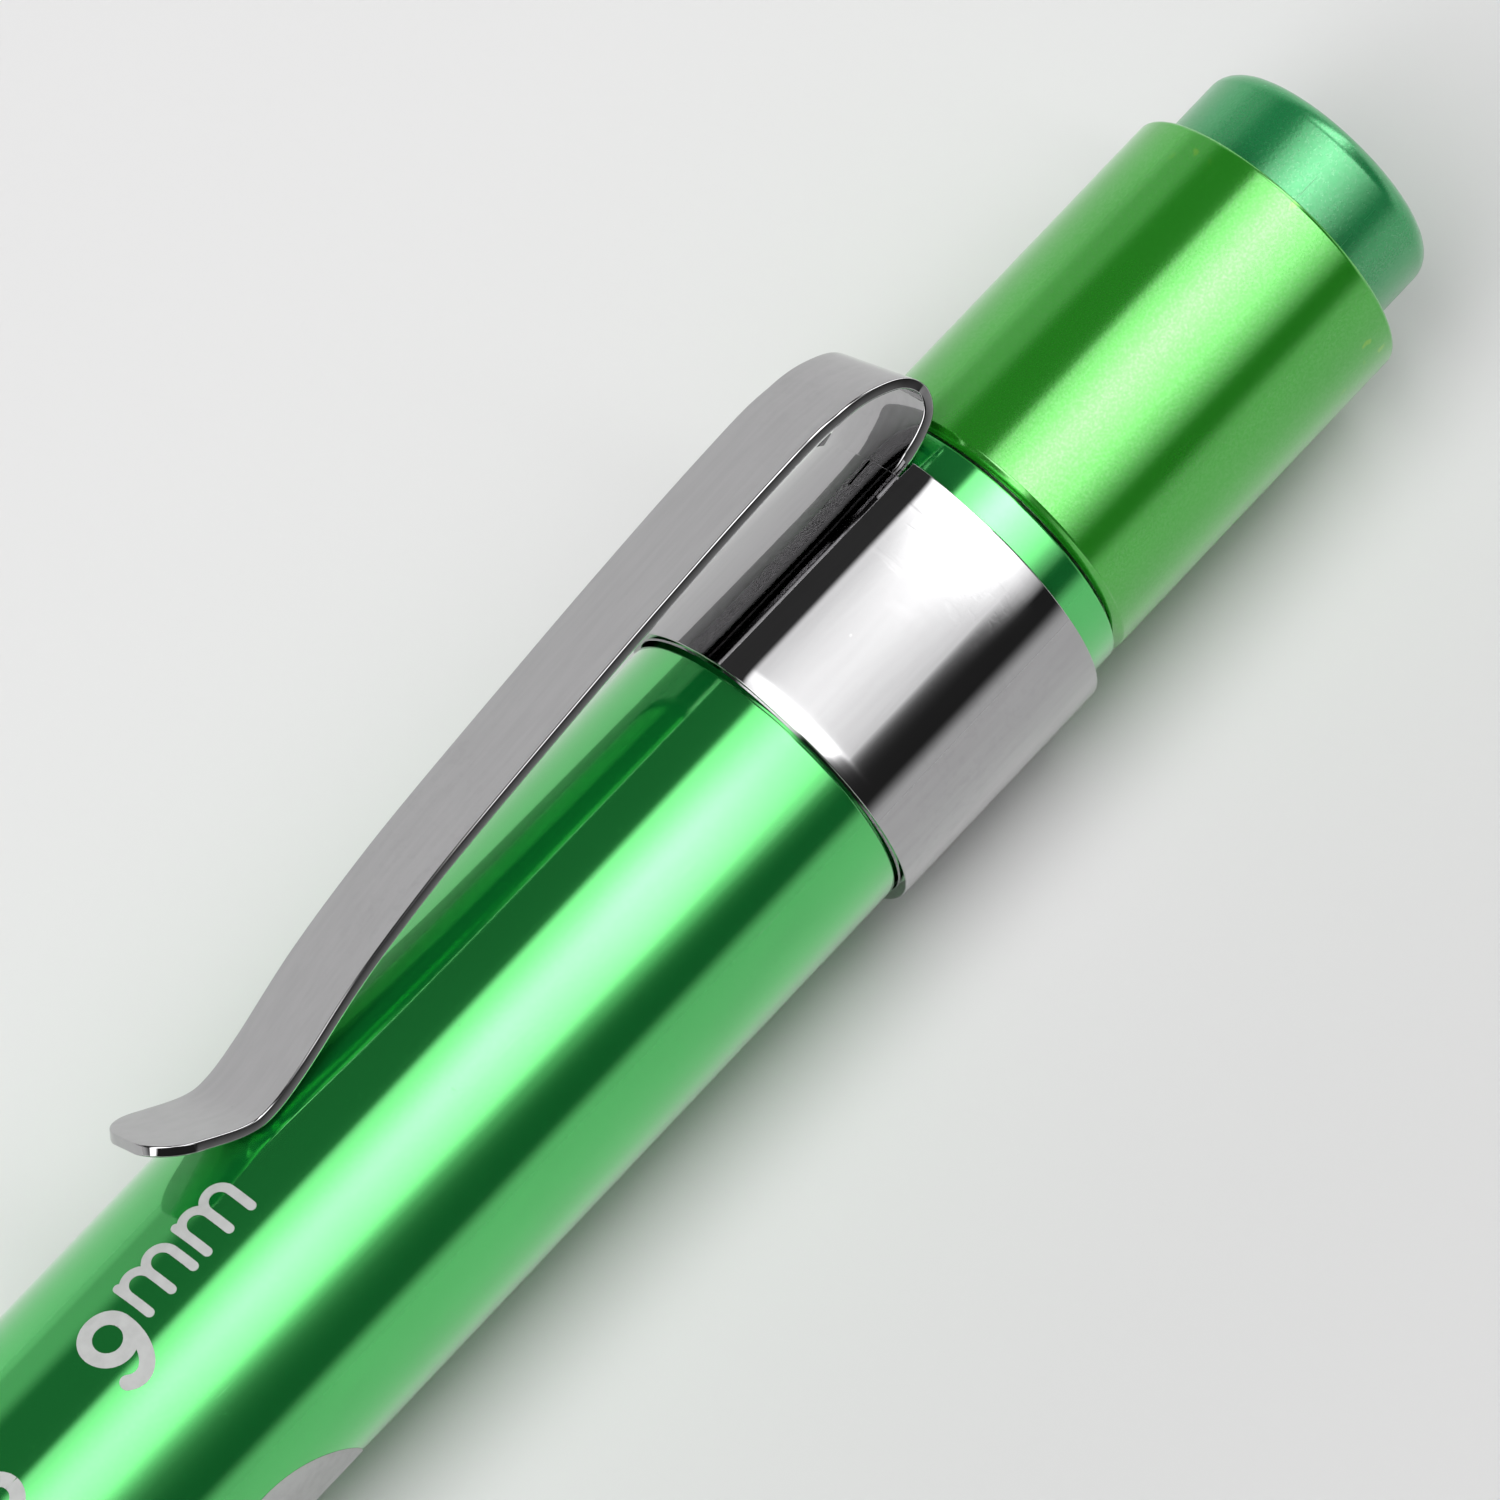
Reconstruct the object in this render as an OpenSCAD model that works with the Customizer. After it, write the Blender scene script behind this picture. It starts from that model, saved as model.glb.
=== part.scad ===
// Penlight: a turned aluminium tube light for two AAA cells, with a sprung steel pocket clip and a tail switch.
// X runs along the axis from the nose to the tail button, and Z is up. The origin is on the axis, at the front
// edge of the head's straight stretch. The light lies on its side, with its clip leaning towards +Y.
// All lengths are in millimetres.

/* [Cells] */
// Diameter of one AAA cell
cell_d = 10.5; // [9.8:0.1:11.2]
// Length of one AAA cell with its terminal
cell_len = 44.5; // [40:0.5:48]
// Radius of a cell's positive terminal
terminal_r = 1.9; // [1.5:0.1:2.3]
// Height of the terminal above the can
terminal_h = 1.1; // [0.9:0.1:1.5]
// Rolled edge of the can round its seal
crimp_w = 0.7; // [0.5:0.1:1.2]
// Depth of the seal in the can
seal_h = 0.5; // [0.3:0.1:0.8]

/* [Barrel] */
// Room between a cell and the bore
cell_clearance = 0.2; // [0.1:0.05:0.35]
// Wall of the barrel
barrel_wall = 0.95; // [0.85:0.05:1.3]
// Chamfer where the barrel meets the head
barrel_chamfer = 0.28; // [0.15:0.01:0.4]
// Chamfer of the barrel's shoulder at the clip
shoulder_chamfer = 0.1; // [0.05:0.01:0.2]

/* [Head] */
// Length of the conical nose
cone_len = 9; // [8:0.5:10]
// Radius of the nose's front face
nose_r = 4.5; // [4.3:0.1:5]
// Wall of the nose round the lens
nose_wall = 0.9; // [0.7:0.05:1.1]
// Rounding of the nose's front edge
nose_round = 0.35; // [0.2:0.05:0.5]
// Lip in front of the lens, along the axis
lip_t = 0.8; // [0.6:0.1:1.2]
// Width of that lip across the lens
lip_w = 0.6; // [0.4:0.05:0.8]
// Length of the head's spigot in the barrel
head_spigot_len = 4.6; // [4.4:0.1:5.5]

/* [Optics] */
// Thickness of the lens gasket
gasket_t = 0.3; // [0.2:0.05:0.5]
// Thickness of the lens at its rim
lens_t = 1.2; // [0.8:0.1:1.8]
// Bulge of the lens into the opening
lens_bulge = 0.45; // [0.2:0.05:0.7]
// Diameter of the LED's dome
led_d = 5; // [4.6:0.1:5.4]
// Length of the LED from its flange to the top of its dome
led_len = 8.6; // [8:0.1:9.2]
// Width of the LED's flange past its body
led_flange_w = 0.4; // [0.3:0.05:0.6]
// Thickness of the LED's flange
led_flange_t = 1; // [0.7:0.1:1.4]
// Room between the lens and the LED
led_gap = 0.4; // [0.2:0.1:0.8]
// Distance between the two leads
lead_pitch = 2.54; // [2.2:0.02:2.8]
// Radius of a lead
lead_r = 0.25; // [0.2:0.01:0.3]
// Length of the reflector
reflector_len = 4.6; // [4:0.1:5.2]
// Wall of the reflector at its mouth
reflector_wall = 0.28; // [0.2:0.02:0.4]
// Length of the spacer on the leads
spacer_len = 5.2; // [4.5:0.1:6]
// Wall of the LED's holder round that spacer
holder_wall = 1.35; // [1.2:0.05:1.4]
// Room for the resistor between spacer and board
board_room = 0.8; // [0.7:0.1:1.2]
// Thickness of the driver board
board_t = 0.8; // [0.6:0.1:1]
// Thickness of the positive contact
contact_t = 0.5; // [0.3:0.1:0.6]
// Radius of the positive contact
contact_r = 2.2; // [1.8:0.1:2.6]
// Length of the resistor
resistor_l = 1.6; // [1.2:0.1:1.8]
// Width of the resistor
resistor_w = 0.8; // [0.6:0.1:1]
// Height of the resistor
resistor_h = 0.5; // [0.4:0.05:0.6]
// Width of the ring that holds the board
retainer_w = 0.8; // [0.6:0.1:1]
// Length of that ring
retainer_len = 0.8; // [0.5:0.1:1]

/* [Clip] */
// Thickness of the clip's sheet
clip_t = 0.38; // [0.3:0.02:0.45]
// Width of the band round the barrel
band_w = 10.6; // [9:0.2:13]
// How far the band stands proud of the barrel
band_proud = 0.15; // [0.1:0.05:0.3]
// Gap between the barrel's shoulder and the band
band_gap = 0.15; // [0.1:0.05:0.3]
// Gap where the band's ends meet
band_seam = 0.4; // [0.2:0.1:0.8]
// Lean of the clip from straight up
clip_lean = 44; // [0:1:90]
// Width of the arm at its bend
clip_w = 4.9; // [4.2:0.1:5.4]
// Width of the arm at its tip
clip_tip_w = 4.5; // [3.6:0.1:5]
// How far the hairpin bend reaches past the band
clip_bend = 2.05; // [1.7:0.05:2.6]
// How far the arm's top stands out from the band
clip_rise = 3.4; // [2.8:0.1:4.2]
// From the band's tail edge to where the arm meets the barrel
clip_reach = 33.9; // [30:0.5:40]
// Length of the turned-up tip
clip_tip_len = 4.5; // [3.6:0.1:6]
// Height of the turned-up tip
clip_tip_rise = 2.2; // [1.6:0.1:3]
// Rounding of the tip's corners
clip_tip_round = 1.2; // [0.8:0.1:1.6]
// Gap between the arm and the barrel where they meet
clip_gap = 0.05; // [0.04:0.01:0.1]
// Length of the slits beside the arm's root
clip_slit_len = 0.75; // [0.6:0.05:1]
// Width of the slits beside the arm's root
clip_slit_w = 0.3; // [0.2:0.05:0.5]

/* [Tail] */
// Length of the collar behind the band
collar_len = 1.5; // [1.2:0.1:2]
// Chamfer of the collar's edges
collar_chamfer = 0.06; // [0.04:0.02:0.2]
// Gap between the collar and the tail cap
tail_gap = 0.2; // [0.1:0.05:0.4]
// Length of the tail cap
tail_len = 15.5; // [14.5:0.5:19]
// How much smaller than the barrel the tail cap and collar are, on the radius
tail_step = 0.1; // [0.05:0.05:0.15]
// Wall of the tail cap round the insert
cap_wall = 0.45; // [0.4:0.05:0.55]
// Wall of the tail cap's rim round the button
rim_wall = 0.7; // [0.65:0.05:0.9]
// Chamfer at the tail cap's front edge
cap_chamfer = 0.3; // [0.2:0.05:0.4]
// Rounding of the tail cap's rear edge
cap_round = 0.25; // [0.15:0.05:0.5]
// Length of the threaded spigot in the barrel
tail_spigot_len = 5.1; // [4.9:0.1:5.4]
// Length of the insert inside the tail cap
insert_len = 5.3; // [4.5:0.1:5.8]
// Setback of the insert's body from the tail cap's front face
insert_recess = 0.3; // [0.1:0.1:0.6]
// Pitch of the threads
thread_pitch = 1; // [0.8:0.1:1.1]
// Depth of the threads
thread_depth = 0.3; // [0.2:0.05:0.35]
// Wall of the spigots under the threads
spigot_wall = 0.75; // [0.65:0.05:0.8]
// Radius of an O-ring's section
o_ring_r = 0.35; // [0.3:0.01:0.38]

/* [Button] */
// How far the button stands out of the tail cap
button_out = 3.8; // [3:0.1:5]
// Travel of the button
button_travel = 2; // [1.5:0.1:2.2]
// Sideways play of the button and its plunger
button_play = 0.4; // [0.3:0.05:0.5]
// Where the button has come to rest within that play
button_shift = 0.3; // [0:0.05:0.3]
// Wall of the button
button_wall = 0.9; // [0.7:0.1:1.1]
// Rounding of the button's edge
button_round = 0.7; // [0.5:0.05:1]
// Thickness of the button's end
button_end = 1; // [0.8:0.1:1.4]
// Room in front of the pressed button
button_room = 2.7; // [2.4:0.1:3]
// Wall of the socket that holds the stem
socket_wall = 0.9; // [0.6:0.1:1.1]
// Length of that socket
socket_len = 4.2; // [3.5:0.1:4.5]
// Radius of the plunger's stem
stem_r = 1.6; // [1.4:0.1:1.7]

/* [Switch] */
// Length of the pressed contact spring
contact_spring_len = 5.8; // [5:0.1:7]
// Radius of the contact spring's wire
contact_wire_r = 0.3; // [0.2:0.02:0.35]
// Turns of the contact spring
contact_turns = 4; // [3:1:5]
// Thickness of the contact plate
plate_t = 0.4; // [0.3:0.05:0.5]
// Rim of the housing round the contact plate
plate_margin = 0.3; // [0.2:0.05:0.5]
// How far the housing reaches out of the tail cap
housing_reach = 1.9; // [1.6:0.1:2.4]
// Wall of the switch housing
housing_wall = 0.9; // [0.7:0.05:1]
// Front wall of the switch housing
housing_front = 1.4; // [1:0.1:1.6]
// Thickness of the housing's flange
flange_t = 1.2; // [1:0.1:1.6]
// Length of the boss round the stem
boss_len = 2; // [1.6:0.1:2.4]
// Wall of that boss
boss_wall = 1.2; // [0.9:0.1:1.4]
// Rear wall of the housing's chamber
chamber_rear = 2.4; // [2:0.1:2.8]
// Radius of the rivet's shank
rivet_r = 0.8; // [0.6:0.05:0.9]
// Radius of the rivet's heads
rivet_head_r = 1.4; // [1.2:0.05:1.5]
// Thickness of the rivet's heads
rivet_head_t = 0.35; // [0.25:0.05:0.5]
// Thickness of the ground washer
washer_t = 0.3; // [0.2:0.05:0.4]
// Hole of the ground washer, as a share of its chamber
washer_hole_share = 0.56; // [0.52:0.01:0.58]
// Width of the washer's two tabs
tab_w = 1.2; // [0.8:0.1:1.6]
// Thickness of the plunger's flange
plunger_flange_t = 1; // [0.7:0.1:1.2]
// Radius of the plunger's nose
plunger_nose_r = 1.1; // [0.9:0.1:1.2]
// Radius of the moving contact
moving_contact_r = 1.4; // [1.2:0.05:1.5]
// Thickness of the moving contact
moving_contact_t = 0.5; // [0.3:0.1:0.7]
// Radius of the return spring's wire
return_wire_r = 0.2; // [0.14:0.02:0.24]
// Turns of the return spring
return_turns = 5; // [4:1:6]

/* [Hidden] */
// Clearance of pieces that sit in each other and don't move
seat_fit = 0.03;
// Clearance of pieces that turn or slide in each other
run_fit = 0.06;
// Gap at a stop, and between contacts that are about to touch
stop_gap = 0.1;
// Cuts run past the faces that they open by this much
overrun = 0.5;
// Facets of round shapes
facets = 96;
// Steps of a quarter round
arc_steps = 6;
// Sides of a spring's wire
wire_sides = 6;
// Rings for each turn of a spring
turn_rings = 12;
// Number of cells in a row
cell_count = 2;
// Half a turn, in degrees
half_turn = 180;
// A right angle, in degrees
right_angle = 90;

// Radii of the tube
bore_r = cell_d / 2 + cell_clearance;
barrel_r = bore_r + barrel_wall;
band_r = barrel_r + band_proud;
band_in_r = band_r - clip_t;
neck_r = band_in_r - seat_fit;
tail_r = barrel_r - tail_step;

// Radii of the two spigots, which share a thread and an O-ring groove
crest_r = bore_r - run_fit;
root_r = crest_r - thread_depth;
spigot_bore_r = root_r - spigot_wall;
groove_r = bore_r - 2 * o_ring_r - run_fit;
o_ring_mid_r = (bore_r + groove_r) / 2;
groove_half_w = o_ring_r + run_fit;
groove_wall = o_ring_r;
groove_zone = 2 * (groove_half_w + groove_wall);

// Places along the head, from the nose to the first cell
head_x0 = -cone_len;
gasket_x = head_x0 + lip_t;
lens_x = gasket_x + gasket_t;
reflector_x = lens_x + lens_t;
holder_x = reflector_x + reflector_len;
led_x = reflector_x + led_gap;
led_base_x = led_x + led_len;
spacer_x1 = led_base_x + spacer_len;
board_x = spacer_x1 + board_room;
contact_x = board_x + board_t;
cell_x0 = contact_x + contact_t;
head_x1 = cell_x0 + terminal_h - stop_gap;
skirt_len = head_x1 - head_spigot_len;

// Radii of the head's inside
cavity_r = nose_r - nose_wall;
opening_r = cavity_r - lip_w;
optic_r = cavity_r - seat_fit;
module_r = spigot_bore_r - seat_fit;
led_r = led_d / 2;
led_flange_r = led_r + led_flange_w;
spacer_r = module_r - holder_wall - run_fit;
retainer_in_r = module_r - retainer_w;
lead_hole_r = lead_r + run_fit;

// Places along the tail, from the last cell to the button
cells_x1 = cell_x0 + cell_count * cell_len;
plate_x = cells_x1 + contact_spring_len;
housing_x = plate_x + plate_t;
tail_x0 = housing_x + housing_reach;
tail_x1 = tail_x0 + tail_len;
neck_x1 = tail_x0 - tail_gap;
band_x1 = neck_x1 - collar_len;
band_x0 = band_x1 - band_w;
shoulder_x = band_x0 - band_gap;
spigot_x0 = tail_x0 - tail_spigot_len;
insert_x0 = tail_x0 + insert_recess;
insert_x1 = tail_x0 + insert_len;
flange_x1 = insert_x1 + flange_t;
boss_x1 = flange_x1 + boss_len;
chamber_x0 = housing_x + housing_front;
chamber_x1 = boss_x1 - chamber_rear;
washer_x1 = chamber_x0 + washer_t;
rivet_x1 = chamber_x0 + rivet_head_t;
moving_contact_x = rivet_x1 + button_travel + stop_gap;
plunger_flange_x1 = chamber_x1 - stop_gap;
plunger_flange_x0 = plunger_flange_x1 - plunger_flange_t;
button_in = tail_len - insert_len - flange_t - button_travel - button_room;
button_x0 = tail_x1 - button_in;
button_x1 = tail_x1 + button_out;
stem_x1 = button_x1 - button_end - seat_fit;

// Radii of the tail's inside
cap_bore_r = tail_r - cap_wall;
rim_r = tail_r - rim_wall;
insert_r = cap_bore_r - seat_fit;
housing_r = spigot_bore_r - seat_fit;
chamber_r = housing_r - housing_wall;
washer_hole_r = chamber_r * washer_hole_share;
stem_hole_r = stem_r + button_play;
boss_r = stem_hole_r + boss_wall;
button_r = rim_r - button_play;
plate_r = housing_r - plate_margin;
plunger_flange_r = chamber_r - button_play;
return_spring_r = plunger_flange_r - 2 * return_wire_r;
contact_spring_wide_r = plate_r - 2 * contact_wire_r;
contact_spring_narrow_r = terminal_r + contact_wire_r;

// The clip's middle line: along the axis from the band's tail edge, and out from the band's middle radius.
// The bend's shares are of clip_bend and clip_rise, from the band's wall round the hairpin to the arm's top.
band_mid_r = band_r - clip_t / 2;
touch_r = barrel_r + clip_gap + clip_t / 2;
bend_shares = [[0.05, 0.05], [0.46, 0.125], [0.78, 0.22], [0.95, 0.35], [1, 0.5], [0.86, 0.66], [0.63, 0.77],
    [0.24, 0.875], [-0.12, 0.935], [-0.49, 0.965], [-1.27, 1]];
// The arm's shares are of the way from its top to where it meets the barrel.
arm_shares = [[0.12, 0.97], [0.24, 0.91], [0.36, 0.835], [0.6, 0.655], [0.72, 0.525], [0.83, 0.35], [0.94, 0.09],
    [1, 0]];
// The tip's shares are of its length and its height.
tip_shares = [[0.26, 0.09], [0.62, 0.5], [1, 1]];
arm_x0 = band_x1 + bend_shares[len(bend_shares) - 1][0] * clip_bend;
arm_x1 = band_x1 - clip_reach;
arm_top_r = band_mid_r + clip_rise;
clip_line = concat(
    [[band_x1 - 2 * clip_slit_len, band_mid_r], [band_x1 - clip_slit_len, band_mid_r]],
    [for (s = bend_shares) [band_x1 + s[0] * clip_bend, band_mid_r + s[1] * clip_rise]],
    [for (s = arm_shares) [arm_x0 + s[0] * (arm_x1 - arm_x0), touch_r + s[1] * (arm_top_r - touch_r)]],
    [for (s = tip_shares) [arm_x1 - s[0] * clip_tip_len, touch_r + s[1] * clip_tip_rise]]);
// Place on the middle line where the root's slits end
slit_at = 1;
// Place where the root has its full thickness
root_full_at = 2;
// Place of the bend's outermost point
apex_at = 6;
// Place of the tip
tip_at = len(clip_line) - 1;
// The arm starts this share of a step past the bend's outermost point
split_share = 0.08;
// Thickness share of the root where it lies inside the band's wall
root_share = 0.7;
// Steps between two points of the line
line_steps = 4;
// Steps round the tip's corners
tip_steps = 6;
// Cells across the strip
strip_cells = 8;

// Colours
barrel_green = "#2f9a63";
tail_green = "#5fb04f";
button_green = "#3f9a6a";
steel = "#b9bcc0";
brass = "#c9a24a";
black_plastic = "#26282b";

// Points of a round corner about a centre, as radius and place along the axis
function corner(r, x, size, from, to) =
    [for (i = [0:arc_steps]) let (a = from + (to - from) * i / arc_steps) [r + size * cos(a), x + size * sin(a)]];

// Points of a spigot's ringed thread from one place to another
function thread(x0, x1) = let (count = floor((x1 - x0) / thread_pitch), quarter = thread_pitch / 4)
    [for (i = [0:count - 1], p = [[root_r, 0], [crest_r, 1], [crest_r, 2], [root_r, 3]])
        [p[0], x0 + i * thread_pitch + p[1] * quarter]];

// Points of an O-ring's groove about a place along the axis
function groove(x) = [[crest_r, x - groove_half_w], [groove_r, x - groove_half_w], [groove_r, x + groove_half_w],
    [crest_r, x + groove_half_w]];

// A turned solid about the axis, from points given as radius and place along the axis
module turned(points) {
    rotate([0, right_angle, 0])
        rotate_extrude($fn = facets)
            polygon(points);
}

// A plain round bar on the axis
module bar(x0, x1, r) {
    translate([x0, 0, 0])
        rotate([0, right_angle, 0])
            cylinder(h = x1 - x0, r = r, $fn = facets);
}

// A plain tube on the axis
module tube(x0, x1, r, hole_r) {
    difference() {
        bar(x0, x1, r);
        bar(x0 - overrun, x1 + overrun, hole_r);
    }
}

// A ring of round section on the axis
module o_ring(x) {
    translate([x, 0, 0])
        rotate([0, right_angle, 0])
            rotate_extrude($fn = facets)
                translate([o_ring_mid_r, 0])
                    circle(r = o_ring_r, $fn = facets / 4);
}

// Faces of a tube of rings, each with the same number of points, and of its two ends
function ring_faces(rings, sides) = [for (i = [0:rings - 2], j = [0:sides - 1])
    let (k = (j + 1) % sides, a = i * sides, b = a + sides)
    each [[a + j, b + k, b + j], [a + j, a + k, b + k]]];
function end_faces(rings, sides) = let (last = (rings - 1) * sides)
    [for (j = [0:sides / 2 - 2])
        let (k = sides - 1 - j)
        each [[j, k - 1, j + 1], [j, k, k - 1],
              [last + j, last + j + 1, last + k - 1], [last + j, last + k - 1, last + k]]];

// A wire spring on the axis, from one coil radius to another
module spring(x0, x1, r0, r1, wire, turns) {
    rings = turns * turn_rings + 1;
    sweep = turns * 2 * half_turn;
    points = [for (i = [0:rings - 1], j = [0:wire_sides - 1])
        let (share = i / (rings - 1), a = sweep * share, b = 2 * half_turn * j / wire_sides,
             r = r0 + (r1 - r0) * share + wire * cos(b),
             x = x0 + wire + (x1 - x0 - 2 * wire) * share + wire * sin(b))
        [x, r * cos(a), r * sin(a)]];
    polyhedron(points, concat(ring_faces(rings, wire_sides), end_faces(rings, wire_sides)));
}

// Turns what is drawn upright to where the clip stands
module at_clip() {
    rotate([-clip_lean, 0, 0])
        children();
}

// Moves the button's pieces to where they rest within their play
module at_button() {
    translate([0, button_shift, 0])
        children();
}

// A smooth line through the clip's points: a place and its neighbours give a cubic
function clamp(i) = max(0, min(tip_at, i));
function line_at(t) = let (i = min(floor(t), tip_at - 1), f = t - i,
        a = clip_line[clamp(i - 1)], b = clip_line[i], c = clip_line[i + 1], d = clip_line[clamp(i + 2)])
    b + f / 2 * (c - a + f * (2 * a - 5 * b + 4 * c - d + f * (3 * (b - c) + d - a)));
// Direction of that line, from two places close to each other
function line_dir(t) = let (step = 1 / (line_steps * line_steps),
        v = line_at(min(t + step, tip_at)) - line_at(max(t - step, 0)))
    v / norm(v);

// Half the strip's width at a place on its line, with the tip's corners rounded off
function strip_half(t) = let (
        wide = clip_w + (clip_tip_w - clip_w) * max(0, t - apex_at) / (tip_at - apex_at),
        left = norm(line_at(tip_at) - line_at(t)), cut = clip_tip_round - min(left, clip_tip_round))
    wide / 2 - clip_tip_round + sqrt(max(0, clip_tip_round * clip_tip_round - cut * cut));

// Thickness share and curl of the strip: it leaves the band curled to the band's radius and comes flat at the bend
function strip_share(t) = root_share + (1 - root_share) * max(0, min(1, (t - slit_at) / (root_full_at - slit_at)));
function strip_curl(t) = max(0, min(1, (apex_at - t) / (apex_at - slit_at)));

// One ring of the strip: its outer face across, then its inner face back
function strip_ring(t) = let (p = line_at(t), d = line_dir(t), n = [-d[1], d[0]], half = strip_half(t),
        thick = clip_t / 2 * strip_share(t))
    [for (face = [1, -1], j = [0:strip_cells])
        let (across = face * half * (2 * j / strip_cells - 1), turn = across / band_mid_r * half_turn / PI,
             drop = strip_curl(t) * band_mid_r * (1 - cos(turn)),
             side = across + strip_curl(t) * (band_mid_r * sin(turn) - across),
             q = p + n * (face * thick) - n * drop)
        [q[0], side, q[1]]];

// The strip through a list of places on its line
module strip(places) {
    sides = 2 * (strip_cells + 1);
    points = [for (t = places) each strip_ring(t)];
    polyhedron(points, concat(ring_faces(len(places), sides), end_faces(len(places), sides)));
}

module head_shell() {
    ring_x = skirt_len + groove_wall + groove_half_w;
    color(barrel_green)
        turned(concat(
            [[opening_r, gasket_x], [opening_r, head_x0]],
            corner(nose_r - nose_round, head_x0 + nose_round, nose_round, -right_angle, 0),
            [[barrel_r, 0], [barrel_r, skirt_len - barrel_chamfer], [barrel_r - barrel_chamfer, skirt_len],
             [crest_r, skirt_len]],
            groove(ring_x),
            thread(skirt_len + groove_zone, head_x1 - thread_depth),
            [[root_r, head_x1], [spigot_bore_r, head_x1], [spigot_bore_r, holder_x], [cavity_r, holder_x],
             [cavity_r, gasket_x]]));
}

module lens_gasket() {
    color(black_plastic)
        tube(gasket_x, lens_x, optic_r, opening_r + seat_fit);
}

module lens() {
    dome_r = (opening_r * opening_r + lens_bulge * lens_bulge) / (2 * lens_bulge);
    dome_angle = asin((opening_r - run_fit) / dome_r);
    color("#dfeaf0")
        turned(concat(
            [for (i = [0:arc_steps]) let (a = dome_angle * i / arc_steps)
                [dome_r * sin(a), lens_x + dome_r * (cos(dome_angle) - cos(a))]],
            [[optic_r, lens_x], [optic_r, reflector_x], [0, reflector_x]]));
}

module reflector() {
    mouth_r = optic_r - reflector_wall;
    throat_r = led_r + seat_fit + run_fit;
    color("#d5d8dc")
        turned(concat(
            [[optic_r, holder_x], [optic_r, reflector_x]],
            [for (i = [0:arc_steps]) let (s = i / arc_steps)
                [throat_r + (mouth_r - throat_r) * sqrt(1 - s), reflector_x + s * reflector_len]]));
}

module led() {
    color("#f4f6ee")
        turned(concat(
            [[0, led_base_x], [0, led_x]],
            corner(0, led_x + led_r, led_r, -right_angle, 0),
            [[led_r, led_base_x - led_flange_t], [led_flange_r, led_base_x - led_flange_t],
             [led_flange_r, led_base_x]]));
}

module led_leads() {
    color(steel)
        for (side = [-1, 1])
            translate([0, side * lead_pitch / 2, 0])
                bar(led_base_x, contact_x, lead_r);
}

module led_holder() {
    color("#e9e6dc")
        difference() {
            bar(holder_x, board_x, module_r);
            bar(holder_x - overrun, led_base_x, led_r + run_fit);
            bar(led_base_x - led_flange_t - seat_fit, led_base_x, led_flange_r + run_fit);
            bar(led_base_x - seat_fit, board_x + overrun, spacer_r + run_fit);
        }
}

// Cuts a hole for each lead through what is drawn
module lead_holes(x0, x1) {
    difference() {
        children();
        for (side = [-1, 1])
            translate([0, side * lead_pitch / 2, 0])
                bar(x0 - overrun, x1 + overrun, lead_hole_r);
    }
}

module lead_spacer() {
    color(black_plastic)
        lead_holes(led_base_x, spacer_x1)
            bar(led_base_x, spacer_x1, spacer_r);
}

module resistor() {
    color("#3a3a40")
        translate([board_x - resistor_h, -resistor_w / 2, -resistor_l / 2])
            cube([resistor_h, resistor_w, resistor_l]);
}

module driver_board() {
    color("#1f6a3a")
        lead_holes(board_x, contact_x)
            bar(board_x, contact_x, module_r);
}

module positive_contact() {
    color(brass)
        bar(contact_x, cell_x0, contact_r);
}

module board_retainer() {
    color(brass)
        tube(contact_x, contact_x + retainer_len, module_r, retainer_in_r);
}

module head_o_ring() {
    color(black_plastic)
        o_ring(skirt_len + groove_wall + groove_half_w);
}

module barrel() {
    color(barrel_green)
        turned([
            [bore_r, skirt_len], [barrel_r - barrel_chamfer, skirt_len], [barrel_r, skirt_len + barrel_chamfer],
            [barrel_r, shoulder_x - shoulder_chamfer], [barrel_r - shoulder_chamfer, shoulder_x], [neck_r, shoulder_x],
            [neck_r, neck_x1], [bore_r, neck_x1]]);
}

// A cell's three pieces, from the place of its terminal's face
module cell_can(x) {
    edge = crimp_w / 2;
    x1 = x + cell_len;
    top = x + terminal_h;
    can_r = cell_d / 2;
    turned([
        [0, top + seal_h], [can_r - crimp_w, top + seal_h], [can_r - crimp_w, top], [can_r - edge, top],
        [can_r, top + edge], [can_r, x1 - edge], [can_r - edge, x1], [0, x1]]);
}
module cell_seal(x) {
    tube(x + terminal_h, x + terminal_h + seal_h, cell_d / 2 - crimp_w - seat_fit, terminal_r + seat_fit);
}
module cell_terminal(x) {
    edge = terminal_h / 4;
    turned([[0, x], [terminal_r - edge, x], [terminal_r, x + edge], [terminal_r, x + terminal_h + seal_h],
        [0, x + terminal_h + seal_h]]);
}

module front_cell_can() {
    color("#394a8c")
        cell_can(cell_x0);
}

module front_cell_seal() {
    color("#1d1f22")
        cell_seal(cell_x0);
}

module front_cell_terminal() {
    color(steel)
        cell_terminal(cell_x0);
}

module rear_cell_can() {
    color("#394a8c")
        cell_can(cell_x0 + cell_len);
}

module rear_cell_seal() {
    color("#1d1f22")
        cell_seal(cell_x0 + cell_len);
}

module rear_cell_terminal() {
    color(steel)
        cell_terminal(cell_x0 + cell_len);
}

module clip_band() {
    notch = clip_w + 2 * clip_slit_w;
    color(steel)
        at_clip()
            union() {
                difference() {
                    tube(band_x0, band_x1, band_r, band_in_r);
                    translate([band_x1 - clip_slit_len, -notch / 2, 0])
                        cube([clip_slit_len + overrun, notch, band_r + overrun]);
                    translate([band_x0 - overrun, -band_seam / 2, -band_r - overrun])
                        cube([band_w + 2 * overrun, band_seam, band_r + overrun]);
                }
                strip([for (i = [line_steps / 2:apex_at * line_steps]) i / line_steps]);
            }
}

module clip_arm() {
    color(steel)
        at_clip()
            strip(concat(
                [apex_at + split_share],
                [for (i = [apex_at * line_steps + 1:(tip_at - 1) * line_steps]) i / line_steps],
                [for (i = [1:tip_steps]) tip_at - 1 + sin(right_angle * i / tip_steps)]));
}

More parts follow.
